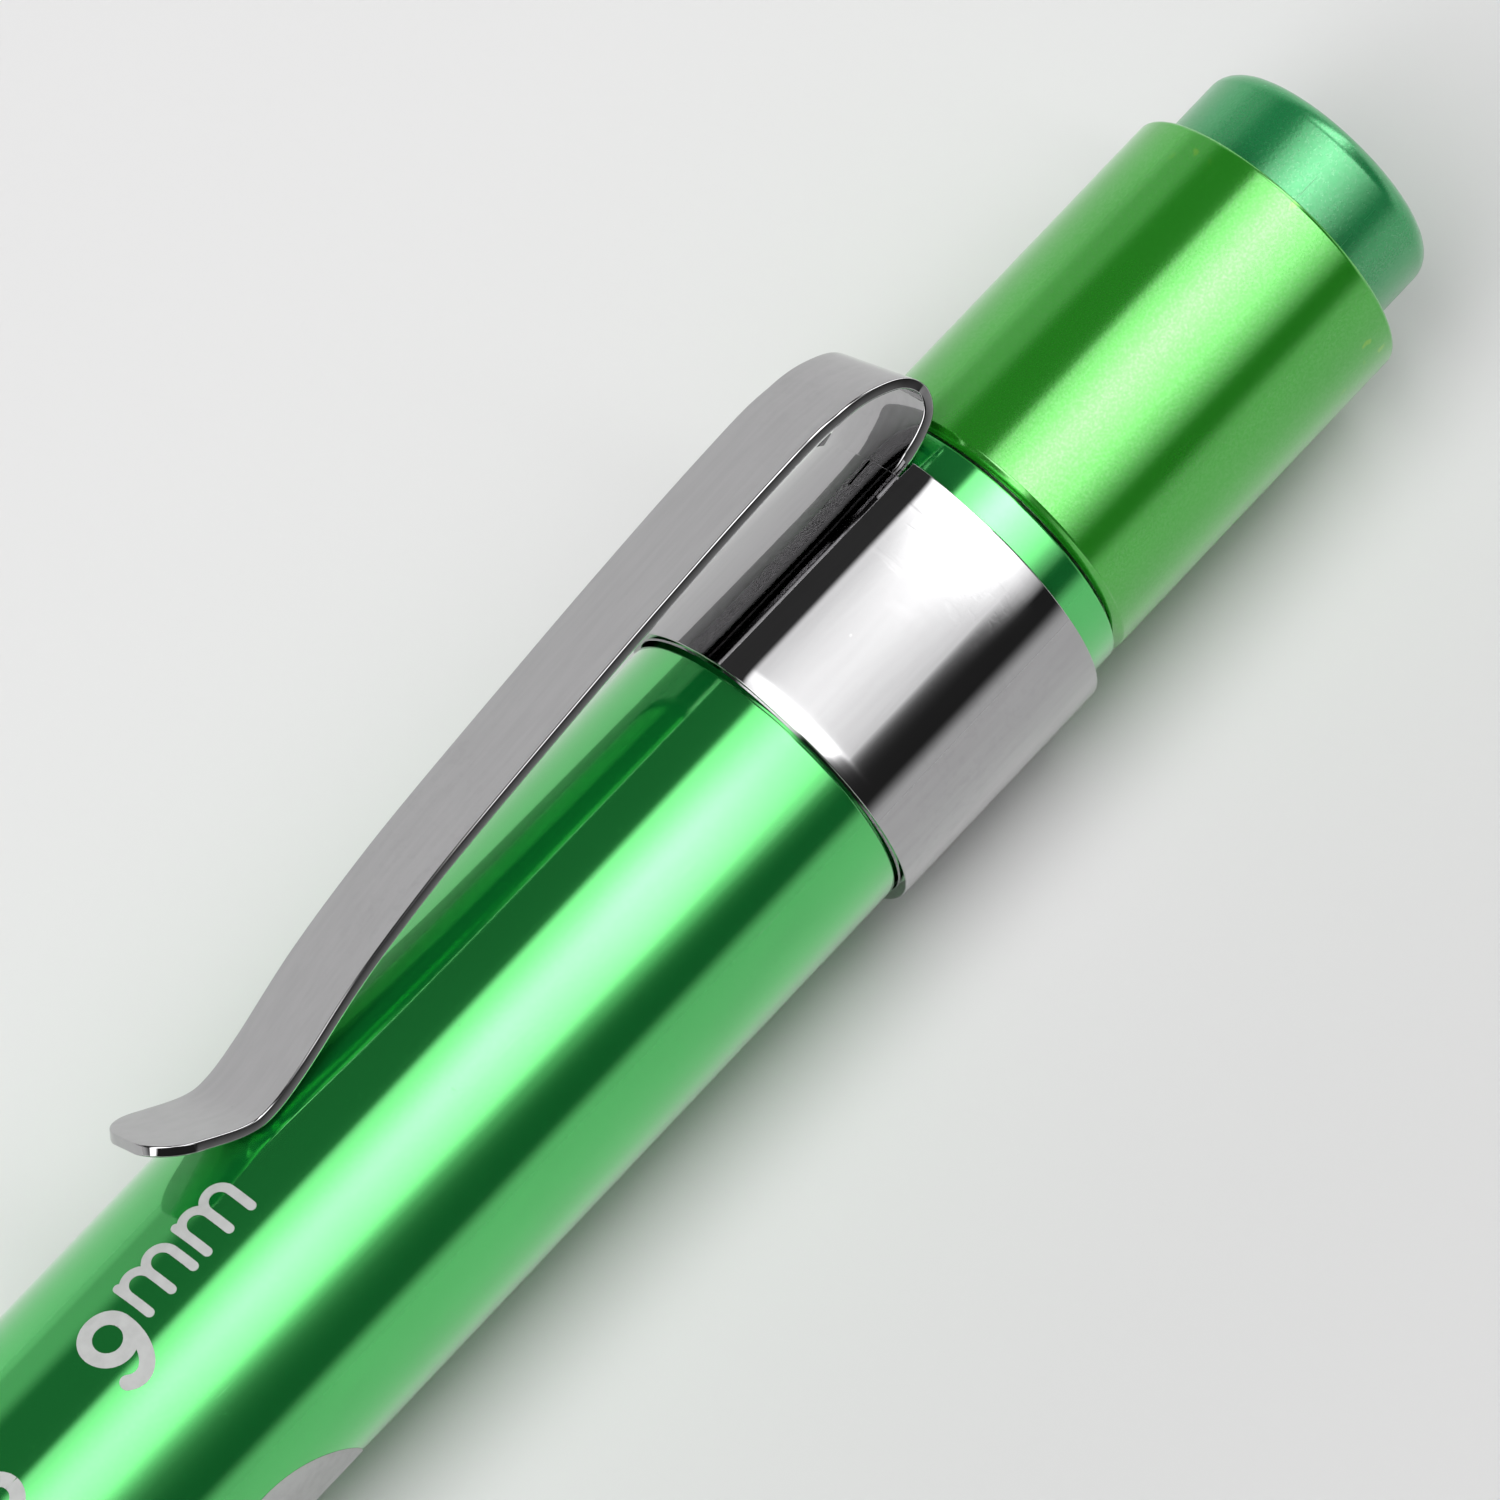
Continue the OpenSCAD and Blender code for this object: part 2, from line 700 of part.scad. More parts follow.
module retaining_collar() {
    hole_r = neck_r + seat_fit;
    color(barrel_green)
        turned([
            [hole_r, band_x1], [tail_r - collar_chamfer, band_x1], [tail_r, band_x1 + collar_chamfer],
            [tail_r, neck_x1 - collar_chamfer], [tail_r - collar_chamfer, neck_x1], [hole_r, neck_x1]]);
}

module tail_cap() {
    color(tail_green)
        turned(concat(
            [[cap_bore_r, flange_x1], [cap_bore_r, tail_x0], [tail_r - cap_chamfer, tail_x0],
             [tail_r, tail_x0 + cap_chamfer]],
            corner(tail_r - cap_round, tail_x1 - cap_round, cap_round, 0, right_angle),
            [[rim_r, tail_x1], [rim_r, flange_x1]]));
}

module threaded_insert() {
    ring_x = neck_x1 - groove_wall - groove_half_w;
    color("#a9adb1")
        turned(concat(
            [[spigot_bore_r, spigot_x0], [root_r, spigot_x0]],
            thread(spigot_x0 + thread_depth, neck_x1 - groove_zone),
            [[root_r, neck_x1 - groove_zone], [crest_r, neck_x1 - groove_zone]],
            groove(ring_x),
            [[crest_r, insert_x0], [insert_r, insert_x0], [insert_r, insert_x1], [spigot_bore_r, insert_x1]]));
}

module tail_o_ring() {
    color(black_plastic)
        o_ring(neck_x1 - groove_wall - groove_half_w);
}

module switch_housing() {
    flange_r = cap_bore_r - seat_fit;
    slot_w = tab_w + 2 * run_fit;
    color(black_plastic)
        difference() {
            turned([
                [0, housing_x], [housing_r, housing_x], [housing_r, insert_x1], [flange_r, insert_x1],
                [flange_r, flange_x1], [boss_r, flange_x1], [boss_r, boss_x1], [0, boss_x1]]);
            bar(chamber_x0, chamber_x1, chamber_r);
            bar(chamber_x1 - overrun, boss_x1 + overrun, stem_hole_r);
            bar(housing_x - overrun, chamber_x0 + overrun, rivet_r + seat_fit);
            translate([chamber_x0, -housing_r - overrun, -slot_w / 2])
                cube([washer_t + run_fit, 2 * (housing_r + overrun), slot_w]);
        }
}

module contact_plate() {
    color(brass)
        tube(plate_x, housing_x, plate_r, rivet_r + seat_fit);
}

module contact_rivet() {
    color(brass)
        union() {
            bar(plate_x - rivet_head_t, plate_x, rivet_head_r);
            bar(plate_x - rivet_head_t, rivet_x1, rivet_r);
            bar(chamber_x0, rivet_x1, rivet_head_r);
        }
}

module contact_spring() {
    color(steel)
        spring(cells_x1, plate_x, contact_spring_narrow_r, contact_spring_wide_r, contact_wire_r, contact_turns);
}

module ground_washer() {
    color(brass)
        difference() {
            union() {
                bar(chamber_x0, washer_x1, chamber_r - seat_fit);
                translate([chamber_x0, -housing_r, -tab_w / 2])
                    cube([washer_t, 2 * housing_r, tab_w]);
            }
            bar(chamber_x0 - overrun, washer_x1 + overrun, washer_hole_r);
        }
}

module return_spring() {
    color(steel)
        spring(washer_x1, plunger_flange_x0, return_spring_r, return_spring_r, return_wire_r, return_turns);
}

module plunger() {
    color("#d8d4c8")
        at_button()
            union() {
                bar(moving_contact_x + moving_contact_t, plunger_flange_x0, plunger_nose_r);
                bar(plunger_flange_x0, plunger_flange_x1, plunger_flange_r);
                bar(plunger_flange_x0, stem_x1, stem_r);
            }
}

module moving_contact() {
    color(brass)
        at_button()
            bar(moving_contact_x, moving_contact_x + moving_contact_t, moving_contact_r);
}

module push_button() {
    inside_r = button_r - button_wall;
    hole_r = stem_r + seat_fit;
    socket_r = hole_r + socket_wall;
    floor_x = button_x1 - button_end;
    color(button_green)
        at_button()
            turned(concat(
                [[0, floor_x], [hole_r, floor_x], [hole_r, floor_x - socket_len], [socket_r, floor_x - socket_len],
                 [socket_r, floor_x], [inside_r, floor_x], [inside_r, button_x0], [button_r, button_x0]],
                corner(button_r - button_round, button_x1 - button_round, button_round, 0, right_angle),
                [[0, button_x1]]));
}

head_shell();
lens_gasket();
lens();
reflector();
led();
led_leads();
led_holder();
lead_spacer();
resistor();
driver_board();
positive_contact();
board_retainer();
head_o_ring();
barrel();
front_cell_can();
front_cell_seal();
front_cell_terminal();
rear_cell_can();
rear_cell_seal();
rear_cell_terminal();
clip_band();
clip_arm();
retaining_collar();
tail_cap();
threaded_insert();
tail_o_ring();
switch_housing();
contact_plate();
contact_rivet();
contact_spring();
ground_washer();
return_spring();
plunger();
moving_contact();
push_button();
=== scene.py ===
"""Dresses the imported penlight: green metal, a polished spring clip, a printed scale and a pale studio.

Lengths are metres, written as millimetres times MM. The light lies along X with its nose towards -X.
Angles round its axis run from straight up (+Z) towards +Y, the side that the clip leans to.
"""
import logging
import math
from dataclasses import dataclass
from enum import Enum
from functools import cache
from typing import Callable, ClassVar, Mapping, Sequence

import bpy
import numpy as np
from mathutils import Matrix, Vector


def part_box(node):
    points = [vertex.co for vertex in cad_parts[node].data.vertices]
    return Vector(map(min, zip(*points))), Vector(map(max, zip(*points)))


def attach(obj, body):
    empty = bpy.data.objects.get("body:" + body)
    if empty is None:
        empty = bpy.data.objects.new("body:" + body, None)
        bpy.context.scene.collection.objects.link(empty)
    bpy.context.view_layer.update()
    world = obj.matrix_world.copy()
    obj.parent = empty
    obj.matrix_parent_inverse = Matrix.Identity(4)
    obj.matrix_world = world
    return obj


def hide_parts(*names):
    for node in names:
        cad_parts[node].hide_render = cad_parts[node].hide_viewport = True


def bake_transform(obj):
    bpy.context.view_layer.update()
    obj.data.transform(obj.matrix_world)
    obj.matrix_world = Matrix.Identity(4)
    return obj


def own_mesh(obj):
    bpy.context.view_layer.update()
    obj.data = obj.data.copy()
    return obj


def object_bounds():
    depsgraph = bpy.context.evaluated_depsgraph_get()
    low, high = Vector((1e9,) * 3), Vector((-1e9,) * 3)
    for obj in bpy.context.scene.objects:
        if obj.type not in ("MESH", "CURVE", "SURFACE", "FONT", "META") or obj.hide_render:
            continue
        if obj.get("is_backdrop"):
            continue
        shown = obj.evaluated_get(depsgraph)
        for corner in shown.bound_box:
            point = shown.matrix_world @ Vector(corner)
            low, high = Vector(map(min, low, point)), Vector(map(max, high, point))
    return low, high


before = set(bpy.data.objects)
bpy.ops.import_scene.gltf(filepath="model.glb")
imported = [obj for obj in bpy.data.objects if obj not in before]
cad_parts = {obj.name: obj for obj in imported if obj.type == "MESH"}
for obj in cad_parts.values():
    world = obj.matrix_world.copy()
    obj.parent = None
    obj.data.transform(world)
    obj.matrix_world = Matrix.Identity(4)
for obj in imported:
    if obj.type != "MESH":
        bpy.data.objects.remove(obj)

log = logging.getLogger("penlight")
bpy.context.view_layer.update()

MM = 0.001
TURN = 2 * math.pi
# Cells round a turned piece, round a threaded one and round an O-ring's section
SEGMENTS = 192
THREAD_SEGMENTS = 96
RING_SEGMENTS = 24
# Steps in each rounded corner of an outline, and along each turn of a thread
ARC_STEPS = 8
THREAD_STEPS = 16
# Least rounding of an edge, and the least turn of an outline that counts as an edge
EDGE = 0.05 * MM
EDGE_TURN = 0.2
# Share of a straight run that the arcs at its ends may take up
ARC_ROOM = 0.999
# A length or slope that is taken as none, and the least divisor
TINY = 1e-9
LEAST = 1e-12
Triple = tuple[float, float, float]
Colour = Triple
Stretch = tuple[float, float]
Array = np.ndarray


class Body(Enum):
    """The bodies of the frame that pieces ride on."""

    LIGHT = "light_body"
    CLIP = "clip"
    SEAL = "tail_seal"
    TAIL = "tail"
    BUTTON = "button"


class Grain(Enum):
    """Ways in which a metal surface was worked, as marks to the metre along each axis."""

    TURNED = (9000.0, 60.0, 60.0)
    DRAWN = (40.0, 5200.0, 5200.0)
    BLASTED = (7000.0, 7000.0, 7000.0)


# Surfaces

def smooth(low: float, high: float, value: Array) -> Array:
    """Cubic step of the way from low to high: 3t² - 2t³ with t held between 0 and 1."""
    t = np.clip((value - low) / (high - low), 0, 1)
    return t * t * (3 - 2 * t)


def around(x: Array, r: Array, angle: Array) -> Array:
    """Points round the axis: (x, r sin a, r cos a)."""
    x, r, angle = np.broadcast_arrays(x, r, angle)
    return np.stack([x, r * np.sin(angle), r * np.cos(angle)], axis=-1)


def unit(vectors: Array) -> Array:
    """Vectors of length 1 in the same directions."""
    return vectors / np.maximum(np.linalg.norm(vectors, axis=-1, keepdims=True), LEAST)


def circle(count: int) -> Array:
    """Angles spaced evenly round a full turn, from 0."""
    return TURN * np.arange(count) / count


def way_along(points: Array) -> Array:
    """The way along a path from its first point to each point."""
    return np.concatenate([[0], np.cumsum(np.linalg.norm(np.diff(points, axis=0), axis=1))])


@dataclass(frozen=True)
class Shell:
    """A closed surface."""

    points: Array  # Its points, one row each
    faces: tuple[Array, ...]  # Arrays of faces, one array for each number of corners
    normals: Array  # The outward direction at each point
    edge: Array  # How far each point lies on a rounded edge, from 0 to 1

    def mesh(self, name: str) -> bpy.types.Mesh:
        """Puts the surface into a mesh.

        Args:
            name: The mesh's name.

        Returns:
            The mesh, smoothly shaded, with its edge attribute.
        """
        mesh = bpy.data.meshes.new(name)
        mesh.from_pydata(self.points.tolist(), [], [face for part in self.faces for face in part.tolist()])
        mesh.shade_smooth()
        mesh.normals_split_custom_set_from_vertices(self.normals.tolist())
        worn = mesh.attributes.new("edge", "FLOAT", "POINT")
        worn.data.foreach_set("value", self.edge.astype(np.float32))
        return mesh


def joined(shells: Sequence[Shell]) -> Shell:
    """Puts several surfaces into one.

    Args:
        shells: The surfaces, which don't share points.

    Returns:
        One surface, with each one's faces counted on from the points before it.
    """
    starts = np.cumsum([0] + [len(shell.points) for shell in shells])
    faces = tuple(part + start for shell, start in zip(shells, starts) for part in shell.faces)
    points = np.concatenate([shell.points for shell in shells])
    normals = np.concatenate([shell.normals for shell in shells])
    return Shell(points, faces, normals, np.concatenate([shell.edge for shell in shells]))


def surface_normals(grid: Array, loop: bool) -> Array:
    """Outward directions of a grid: the step to the next column crossed with the step to the next row.

    Args:
        grid: Points by row and column, whose rows close on themselves.
        loop: Whether the last row meets the first.

    Returns:
        A direction of length 1 for each point.
    """
    along_row = np.roll(grid, -1, axis=1) - np.roll(grid, 1, axis=1)
    if loop:
        along_column = np.roll(grid, -1, axis=0) - np.roll(grid, 1, axis=0)
    else:
        along_column = np.gradient(grid, axis=0)
    return unit(np.cross(along_row, along_column))


def skin(grid: Array, normals: Array, loop: bool, edge: Array | None = None) -> Shell:
    """Covers a grid whose rows close on themselves with faces that point outwards.

    Args:
        grid: Points by row and column.
        normals: The outward direction at each point.
        loop: Whether the last row meets the first. If not, the first and last rows draw in to a pole each.
        edge: How far each row, or each point, lies on a rounded edge.

    Returns:
        The closed surface.
    """
    rows, columns = grid.shape[:2]
    worn = np.zeros((rows, columns)) if edge is None else np.broadcast_to(edge, (rows, columns))
    poles, pole_worn = grid[[0, -1]].mean(axis=1), worn[[0, -1], 0]
    ways = unit(poles - grid[[1, -2]].mean(axis=1))
    if not loop:
        # A row that is a single point already is its pole
        single = np.ptp(grid[[0, -1]], axis=1).max(axis=-1) < TINY
        ways = np.where(single[:, None], normals[[0, -1], 0], ways)
        rest = slice(int(single[0]), rows - int(single[1]))
        grid, normals, worn = grid[rest], normals[rest], worn[rest]
        rows = len(grid)
    index = np.arange(rows * columns).reshape(rows, columns)
    near = index if loop else index[:-1]
    far = np.roll(index, -1, axis=0) if loop else index[1:]
    quads = np.stack([near, np.roll(near, -1, axis=1), np.roll(far, -1, axis=1), far], axis=-1).reshape(-1, 4)
    if loop:
        return Shell(grid.reshape(-1, 3), (quads,), normals.reshape(-1, 3), worn.ravel())
    first, last = rows * columns, rows * columns + 1
    front = np.stack([np.full(columns, first), np.roll(index[0], -1), index[0]], axis=-1)
    back = np.stack([index[-1], np.roll(index[-1], -1), np.full(columns, last)], axis=-1)
    points = np.concatenate([grid.reshape(-1, 3), poles])
    normals = np.concatenate([normals.reshape(-1, 3), ways])
    return Shell(points, (quads, front, back), normals, np.concatenate([worn.ravel(), pole_worn]))


@dataclass(frozen=True)
class Span:
    """Where a node of the frame lies: its ends along the axis and its outer radius."""

    x0: float
    x1: float
    r: float

    @classmethod
    def of(cls, node: str) -> "Span":
        """The span of a node.

        Args:
            node: The node's name.

        Returns:
            Its lowest and highest X, and half its height.
        """
        low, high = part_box(node)
        return cls(low.x, high.x, (high.z - low.z) / 2)


@dataclass(frozen=True)
class Corner:
    """A corner of a turned outline: its place along the axis, its radius and the rounding of its edge."""

    x: float
    r: float
    round: float = EDGE


@dataclass(frozen=True)
class Outline:
    """A turned piece's half section: points (x, r), outward directions, and how far each lies on an edge."""

    points: Array
    normals: Array
    edge: Array
    closed: bool

    def finer(self, step: float) -> "Outline":
        """The same outline with points added on its long runs.

        Args:
            step: The greatest distance between two points.

        Returns:
            The outline, with values between two points in line with them.
        """
        table = np.column_stack([self.points, self.normals, self.edge])
        if self.closed:
            table = np.concatenate([table, table[:1]])
        way = way_along(table[:, :2])
        places = np.unique(np.concatenate([way, np.arange(0, way[-1], step)]))
        places = places[:-1] if self.closed else places
        fine = np.stack([np.interp(places, way, column) for column in table.T], axis=1)
        return Outline(fine[:, :2], unit(fine[:, 2:4]), fine[:, 4], self.closed)

    def turned(self, segments: int = SEGMENTS,
               relief: Callable[[Array, Array, Array], Array] | None = None, side_y: float = 0.0) -> Shell:
        """Turns the outline round the axis.

        Args:
            segments: Cells round the axis.
            relief: A change of the radius, from the place, the radius and the angle.
            side_y: How far the piece's own axis lies from the light's, along Y.

        Returns:
            The closed surface.
        """
        angle = circle(segments)
        x, r = self.points[:, :1], self.points[:, 1:]
        normals = around(self.normals[:, :1], self.normals[:, 1:], angle)
        if relief is None:
            grid = around(x, r, angle)
        else:
            grid = around(x, r + relief(x, r, angle), angle)
            normals = surface_normals(grid, self.closed)
        grid[..., 1] += side_y
        return skin(grid, normals, self.closed, self.edge[:, None])


def rounded(*corners: Corner) -> Outline:
    """Rounds the corners of a half section with arcs that meet the straight runs smoothly.

    The heading turns evenly along each arc, so a point is its start plus the bend's radius times the change
    in (sin heading, -cos heading). An outline whose first and last corners lie on the axis is open there.

    Args:
        corners: The corners in order, either way round.

    Returns:
        The outline, run so that its outside is on the right.
    """
    at = np.array([(corner.x, corner.r) for corner in corners])
    bend = np.array([corner.round for corner in corners])
    closed = at[0, 1] > 0 or at[-1, 1] > 0
    after = np.roll(at, -1, axis=0)
    if np.sum(at[:, 0] * after[:, 1] - after[:, 0] * at[:, 1]) < 0:
        at, bend = at[::-1], bend[::-1]
    step = np.roll(at, -1, axis=0) - at
    length = np.hypot(step[:, 0], step[:, 1])
    heading = np.arctan2(step[:, 1], step[:, 0])
    before = np.roll(heading, 1)
    turn = (heading - before + math.pi) % TURN - math.pi
    reach = bend * np.tan(np.abs(turn) / 2)
    if not closed:
        turn[[0, -1]] = 0
        before[0] = heading[0]
        reach[[0, -1]] = 0
    room = length / np.maximum(reach + np.roll(reach, -1), LEAST)
    reach = reach * np.minimum(1, ARC_ROOM * np.minimum(room, np.roll(room, 1)))
    radius = (np.sign(turn) * reach / np.maximum(np.tan(np.abs(turn) / 2), TINY))[:, None]
    before = before[:, None]
    way = before + turn[:, None] * np.linspace(0, 1, ARC_STEPS + 1)
    x = at[:, :1] - reach[:, None] * np.cos(before) + radius * (np.sin(way) - np.sin(before))
    r = at[:, 1:] - reach[:, None] * np.sin(before) - radius * (np.cos(way) - np.cos(before))
    points = np.stack([x, np.maximum(r, 0)], axis=-1).reshape(-1, 2)
    normals = np.stack([np.sin(way), -np.cos(way)], axis=-1).reshape(-1, 2)
    worn = np.sin(np.linspace(0, math.pi, ARC_STEPS + 1))
    edge = ((turn > EDGE_TURN)[:, None] * worn).ravel()
    moved = np.linalg.norm(points - np.roll(points, 1, axis=0), axis=1) > TINY
    moved[0] = True
    return Outline(points[moved], normals[moved], edge[moved], closed)


def ring(seal: Span) -> Outline:
    """The outline of an O-ring: a circle as wide as the ring's node is long, inside its outer radius.

    Args:
        seal: Where the ring's node lies.

    Returns:
        Its half section.
    """
    section_r = (seal.x1 - seal.x0) / 2
    t = circle(RING_SEGMENTS)
    ways = np.stack([np.cos(t), np.sin(t)], axis=-1)
    middle = np.array([(seal.x0 + seal.x1) / 2, seal.r - section_r])
    return Outline(middle + section_r * ways, ways, np.zeros(len(t)), True)


@dataclass(frozen=True)
class Thread:
    """A right-hand helical thread on an outside radius."""

    x0: float  # Where it starts
    x1: float  # Where it runs out
    crest_r: float  # The radius that it is cut into
    depth: float = 0.3 * MM  # How deep it is cut
    pitch: float = 1.0 * MM  # The distance from one turn to the next
    flank: float = 0.5  # How far from its middle the wave is cut off flat, each way

    def relief(self, x: Array, r: Array, angle: Array) -> Array:
        """The cut at a point: a flat-topped wave of x plus a pitch for each turn, faded at both ends.

        Args:
            x: Places along the axis.
            r: Radii of the uncut outline.
            angle: Angles round the axis.

        Returns:
            The change of the radius.
        """
        wave = np.cos(TURN * x / self.pitch + angle)
        ends = smooth(self.x0, self.x0 + self.pitch, x) * (1 - smooth(self.x1 - self.pitch, self.x1, x))
        outside = np.abs(r - self.crest_r) < EDGE
        return -self.depth * smooth(-self.flank, self.flank, wave) * ends * outside


@dataclass(frozen=True)
class Coil:
    """A coil spring along the axis."""

    x0: float  # Where its wire starts
    x1: float  # Where its wire ends
    r0: float  # Radius to the outside of the wire at its start
    r1: float  # The same at its end
    wire_r: float  # Radius of its wire
    turns: int  # How often it goes round
    ease: float = 0.35  # Share of its rise that eases in and out, so that the end turns lie flatter
    steps: int = 40  # Steps along each turn
    sides: int = 12  # Cells round the wire
    end_steps: int = 3  # Steps over which the wire's ends are rounded
    end_share: float = 0.02  # Share of that rounding at which the wire starts

    def shell(self) -> Shell:
        """The wire: a circle carried along a helix.

        Returns:
            The closed surface, drawn in to a rounded end at both ends.
        """
        share = np.linspace(0, 1, self.steps * self.turns + 1)
        rise = smooth(0, 1, share) * self.ease + share * (1 - self.ease)
        x = self.x0 + self.wire_r + rise * (self.x1 - self.x0 - 2 * self.wire_r)
        angle = -TURN * self.turns * share
        path = around(x, self.r0 + share * (self.r1 - self.r0) - self.wire_r, angle)
        ahead = unit(np.gradient(path, axis=0))
        out = unit(around(np.zeros(len(angle)), 1, angle))
        out = unit(out - ahead * np.sum(out * ahead, axis=1, keepdims=True))
        up = np.cross(ahead, out)
        place = np.arange(len(share))
        into = np.clip(np.minimum(place, place[::-1]) / self.end_steps, self.end_share, 1)
        thick = np.sqrt(1 - (1 - into) ** 2)[:, None, None]
        t = circle(self.sides)[None, :, None]
        ways = out[:, None] * np.cos(t) + up[:, None] * np.sin(t)
        return skin(path[:, None] + self.wire_r * thick * ways, ways, False)


# Materials

# No turn of a pattern, and the numbers of the colour sockets and the colour output of a Mix node
NO_TURN = (0.0, 0.0, 0.0)
MIX_COLOURS = (6, 7)
MIX_RESULT = 2


class Value:
    """A socket that carries a number over a surface. Its operators add Math nodes."""

    def __init__(self, recipe: "Recipe", socket: bpy.types.NodeSocket) -> None:
        """Keeps the socket and the recipe that it belongs to."""
        self.recipe = recipe
        self.socket = socket

    def __add__(self, other: "Value | float") -> "Value":
        """Self plus other."""
        return self.recipe.maths("ADD", self, other)

    __radd__ = __add__

    def __sub__(self, other: "Value | float") -> "Value":
        """Self minus other."""
        return self.recipe.maths("SUBTRACT", self, other)

    def __rsub__(self, other: float) -> "Value":
        """Other minus self."""
        return self.recipe.maths("SUBTRACT", other, self)

    def __mul__(self, other: "Value | float") -> "Value":
        """Self times other."""
        return self.recipe.maths("MULTIPLY", self, other)

    __rmul__ = __mul__

    def output(self, name: str) -> "Value":
        """Another output of the same node."""
        return Value(self.recipe, self.socket.node.outputs[name])


class Recipe:
    """A node tree under construction."""

    def __init__(self, tree: bpy.types.NodeTree) -> None:
        """Empties the tree."""
        self.tree = tree
        tree.nodes.clear()

    def node(self, kind: str, settings: Mapping[str, object] | None = None,
             sockets: Mapping[str | int, object] | None = None, output: int = 0) -> Value:
        """Adds a node.

        Args:
            kind: The node's type.
            settings: Its properties, set first. The stops of a ramp are (place, colour) pairs.
            sockets: Values or links of its inputs, by name or number.
            output: Which output to hand on.

        Returns:
            That output.
        """
        node = self.tree.nodes.new(kind)
        for name, setting in (settings or {}).items():
            if name == "stops":
                for _ in range(len(setting) - len(node.color_ramp.elements)):
                    node.color_ramp.elements.new(1)
                for element, (place, colour) in zip(node.color_ramp.elements, setting):
                    element.position = place
                    element.color = (*colour, 1)
            else:
                setattr(node, name, setting)
        for name, value in (sockets or {}).items():
            if isinstance(value, Value):
                self.tree.links.new(value.socket, node.inputs[name])
            else:
                node.inputs[name].default_value = value
        return Value(self, node.outputs[output] if node.outputs else None)

    def maths(self, operation: str, *terms: Value | float) -> Value:
        """Adds a Math node for an operation on its terms."""
        return self.node("ShaderNodeMath", {"operation": operation}, dict(enumerate(terms)))

    def step(self, value: Value, low: float, high: float) -> Value:
        """A smooth step from 0 at low to 1 at high."""
        return self.node("ShaderNodeMapRange", {"interpolation_type": "SMOOTHSTEP"},
                         {"Value": value, "From Min": low, "From Max": high})

    def place(self, scale: Triple = (1.0, 1.0, 1.0), turn: Triple = NO_TURN) -> Value:
        """The surface's own place, turned and stretched.

        Args:
            scale: How many units of the pattern go into a metre, along each axis.
            turn: The pattern's turn about each axis.

        Returns:
            The vector.
        """
        here = self.node("ShaderNodeTexCoord").output("Object")
        return self.node("ShaderNodeMapping", {}, {"Vector": here, "Scale": scale, "Rotation": turn})

    def axis(self, name: str) -> Value:
        """The surface's own place along one axis."""
        return self.node("ShaderNodeSeparateXYZ", {}, {0: self.place()}).output(name)

    def noise(self, scale: float | Triple, detail: float = 2.0, turn: Triple = NO_TURN) -> Value:
        """Soft random patches.

        Args:
            scale: Patches to the metre, one number for all axes or one for each.
            detail: How many finer layers it has.
            turn: The pattern's turn about each axis.

        Returns:
            A number about 0.5.
        """
        place = self.place(scale if isinstance(scale, tuple) else (scale,) * 3, turn)
        return self.node("ShaderNodeTexNoise", {}, {"Vector": place, "Scale": 1.0, "Detail": detail})

    def specks(self, scale: float | Triple, low: float, high: float, turn: Triple = NO_TURN) -> Value:
        """Sparse marks: 1 where a noise is above high, 0 where it is below low."""
        return self.step(self.noise(scale, 1.0, turn), low, high)

    def mix(self, share: Value, first: Colour | Value, second: Colour | Value) -> Value:
        """A colour between two, by a share.

        Args:
            share: 0 for the first colour, 1 for the second.
            first: A colour or the output of a node.
            second: The same.

        Returns:
            The mixed colour.
        """
        colours = {number: colour if isinstance(colour, Value) else (*colour, 1)
                   for number, colour in zip(MIX_COLOURS, (first, second))}
        return self.node("ShaderNodeMix", {"data_type": "RGBA"}, {0: share, **colours}, MIX_RESULT)

    def bump(self, height: Value, distance: float, strength: float = 1.0,
             below: Value | None = None) -> Value:
        """A surface relief.

        Args:
            height: The height, about 0 to 1.
            distance: What a height of 1 stands for, in metres.
            strength: How strongly it acts.
            below: A relief that it lies on.

        Returns:
            The direction for a Normal socket.
        """
        sockets = {"Height": height, "Distance": distance, "Strength": strength}
        if below is not None:
            sockets["Normal"] = below
        return self.node("ShaderNodeBump", {}, sockets)

    def surface(self, **sockets: object) -> None:
        """Ends the recipe with a surface shader, whose sockets are named with _ for a space."""
        named = {name.replace("_", " "): value for name, value in sockets.items()}
        shader = self.node("ShaderNodeBsdfPrincipled", {}, named)
        self.node("ShaderNodeOutputMaterial", {}, {"Surface": shader})


@dataclass(frozen=True)
class Finish:
    """A finish, known by the record's material slot that it belongs to."""

    slot: str

    def paint(self, recipe: Recipe) -> None:
        """Writes the finish's nodes."""
        raise NotImplementedError


@cache
def material_of(finish: Finish) -> bpy.types.Material:
    """The material of a finish, made once.

    Args:
        finish: The finish.

    Returns:
        Its material.
    """
    material = bpy.data.materials.new(f"{finish.slot}_{type(finish).__name__}")
    material.use_nodes = True
    finish.paint(Recipe(material.node_tree))
    return material


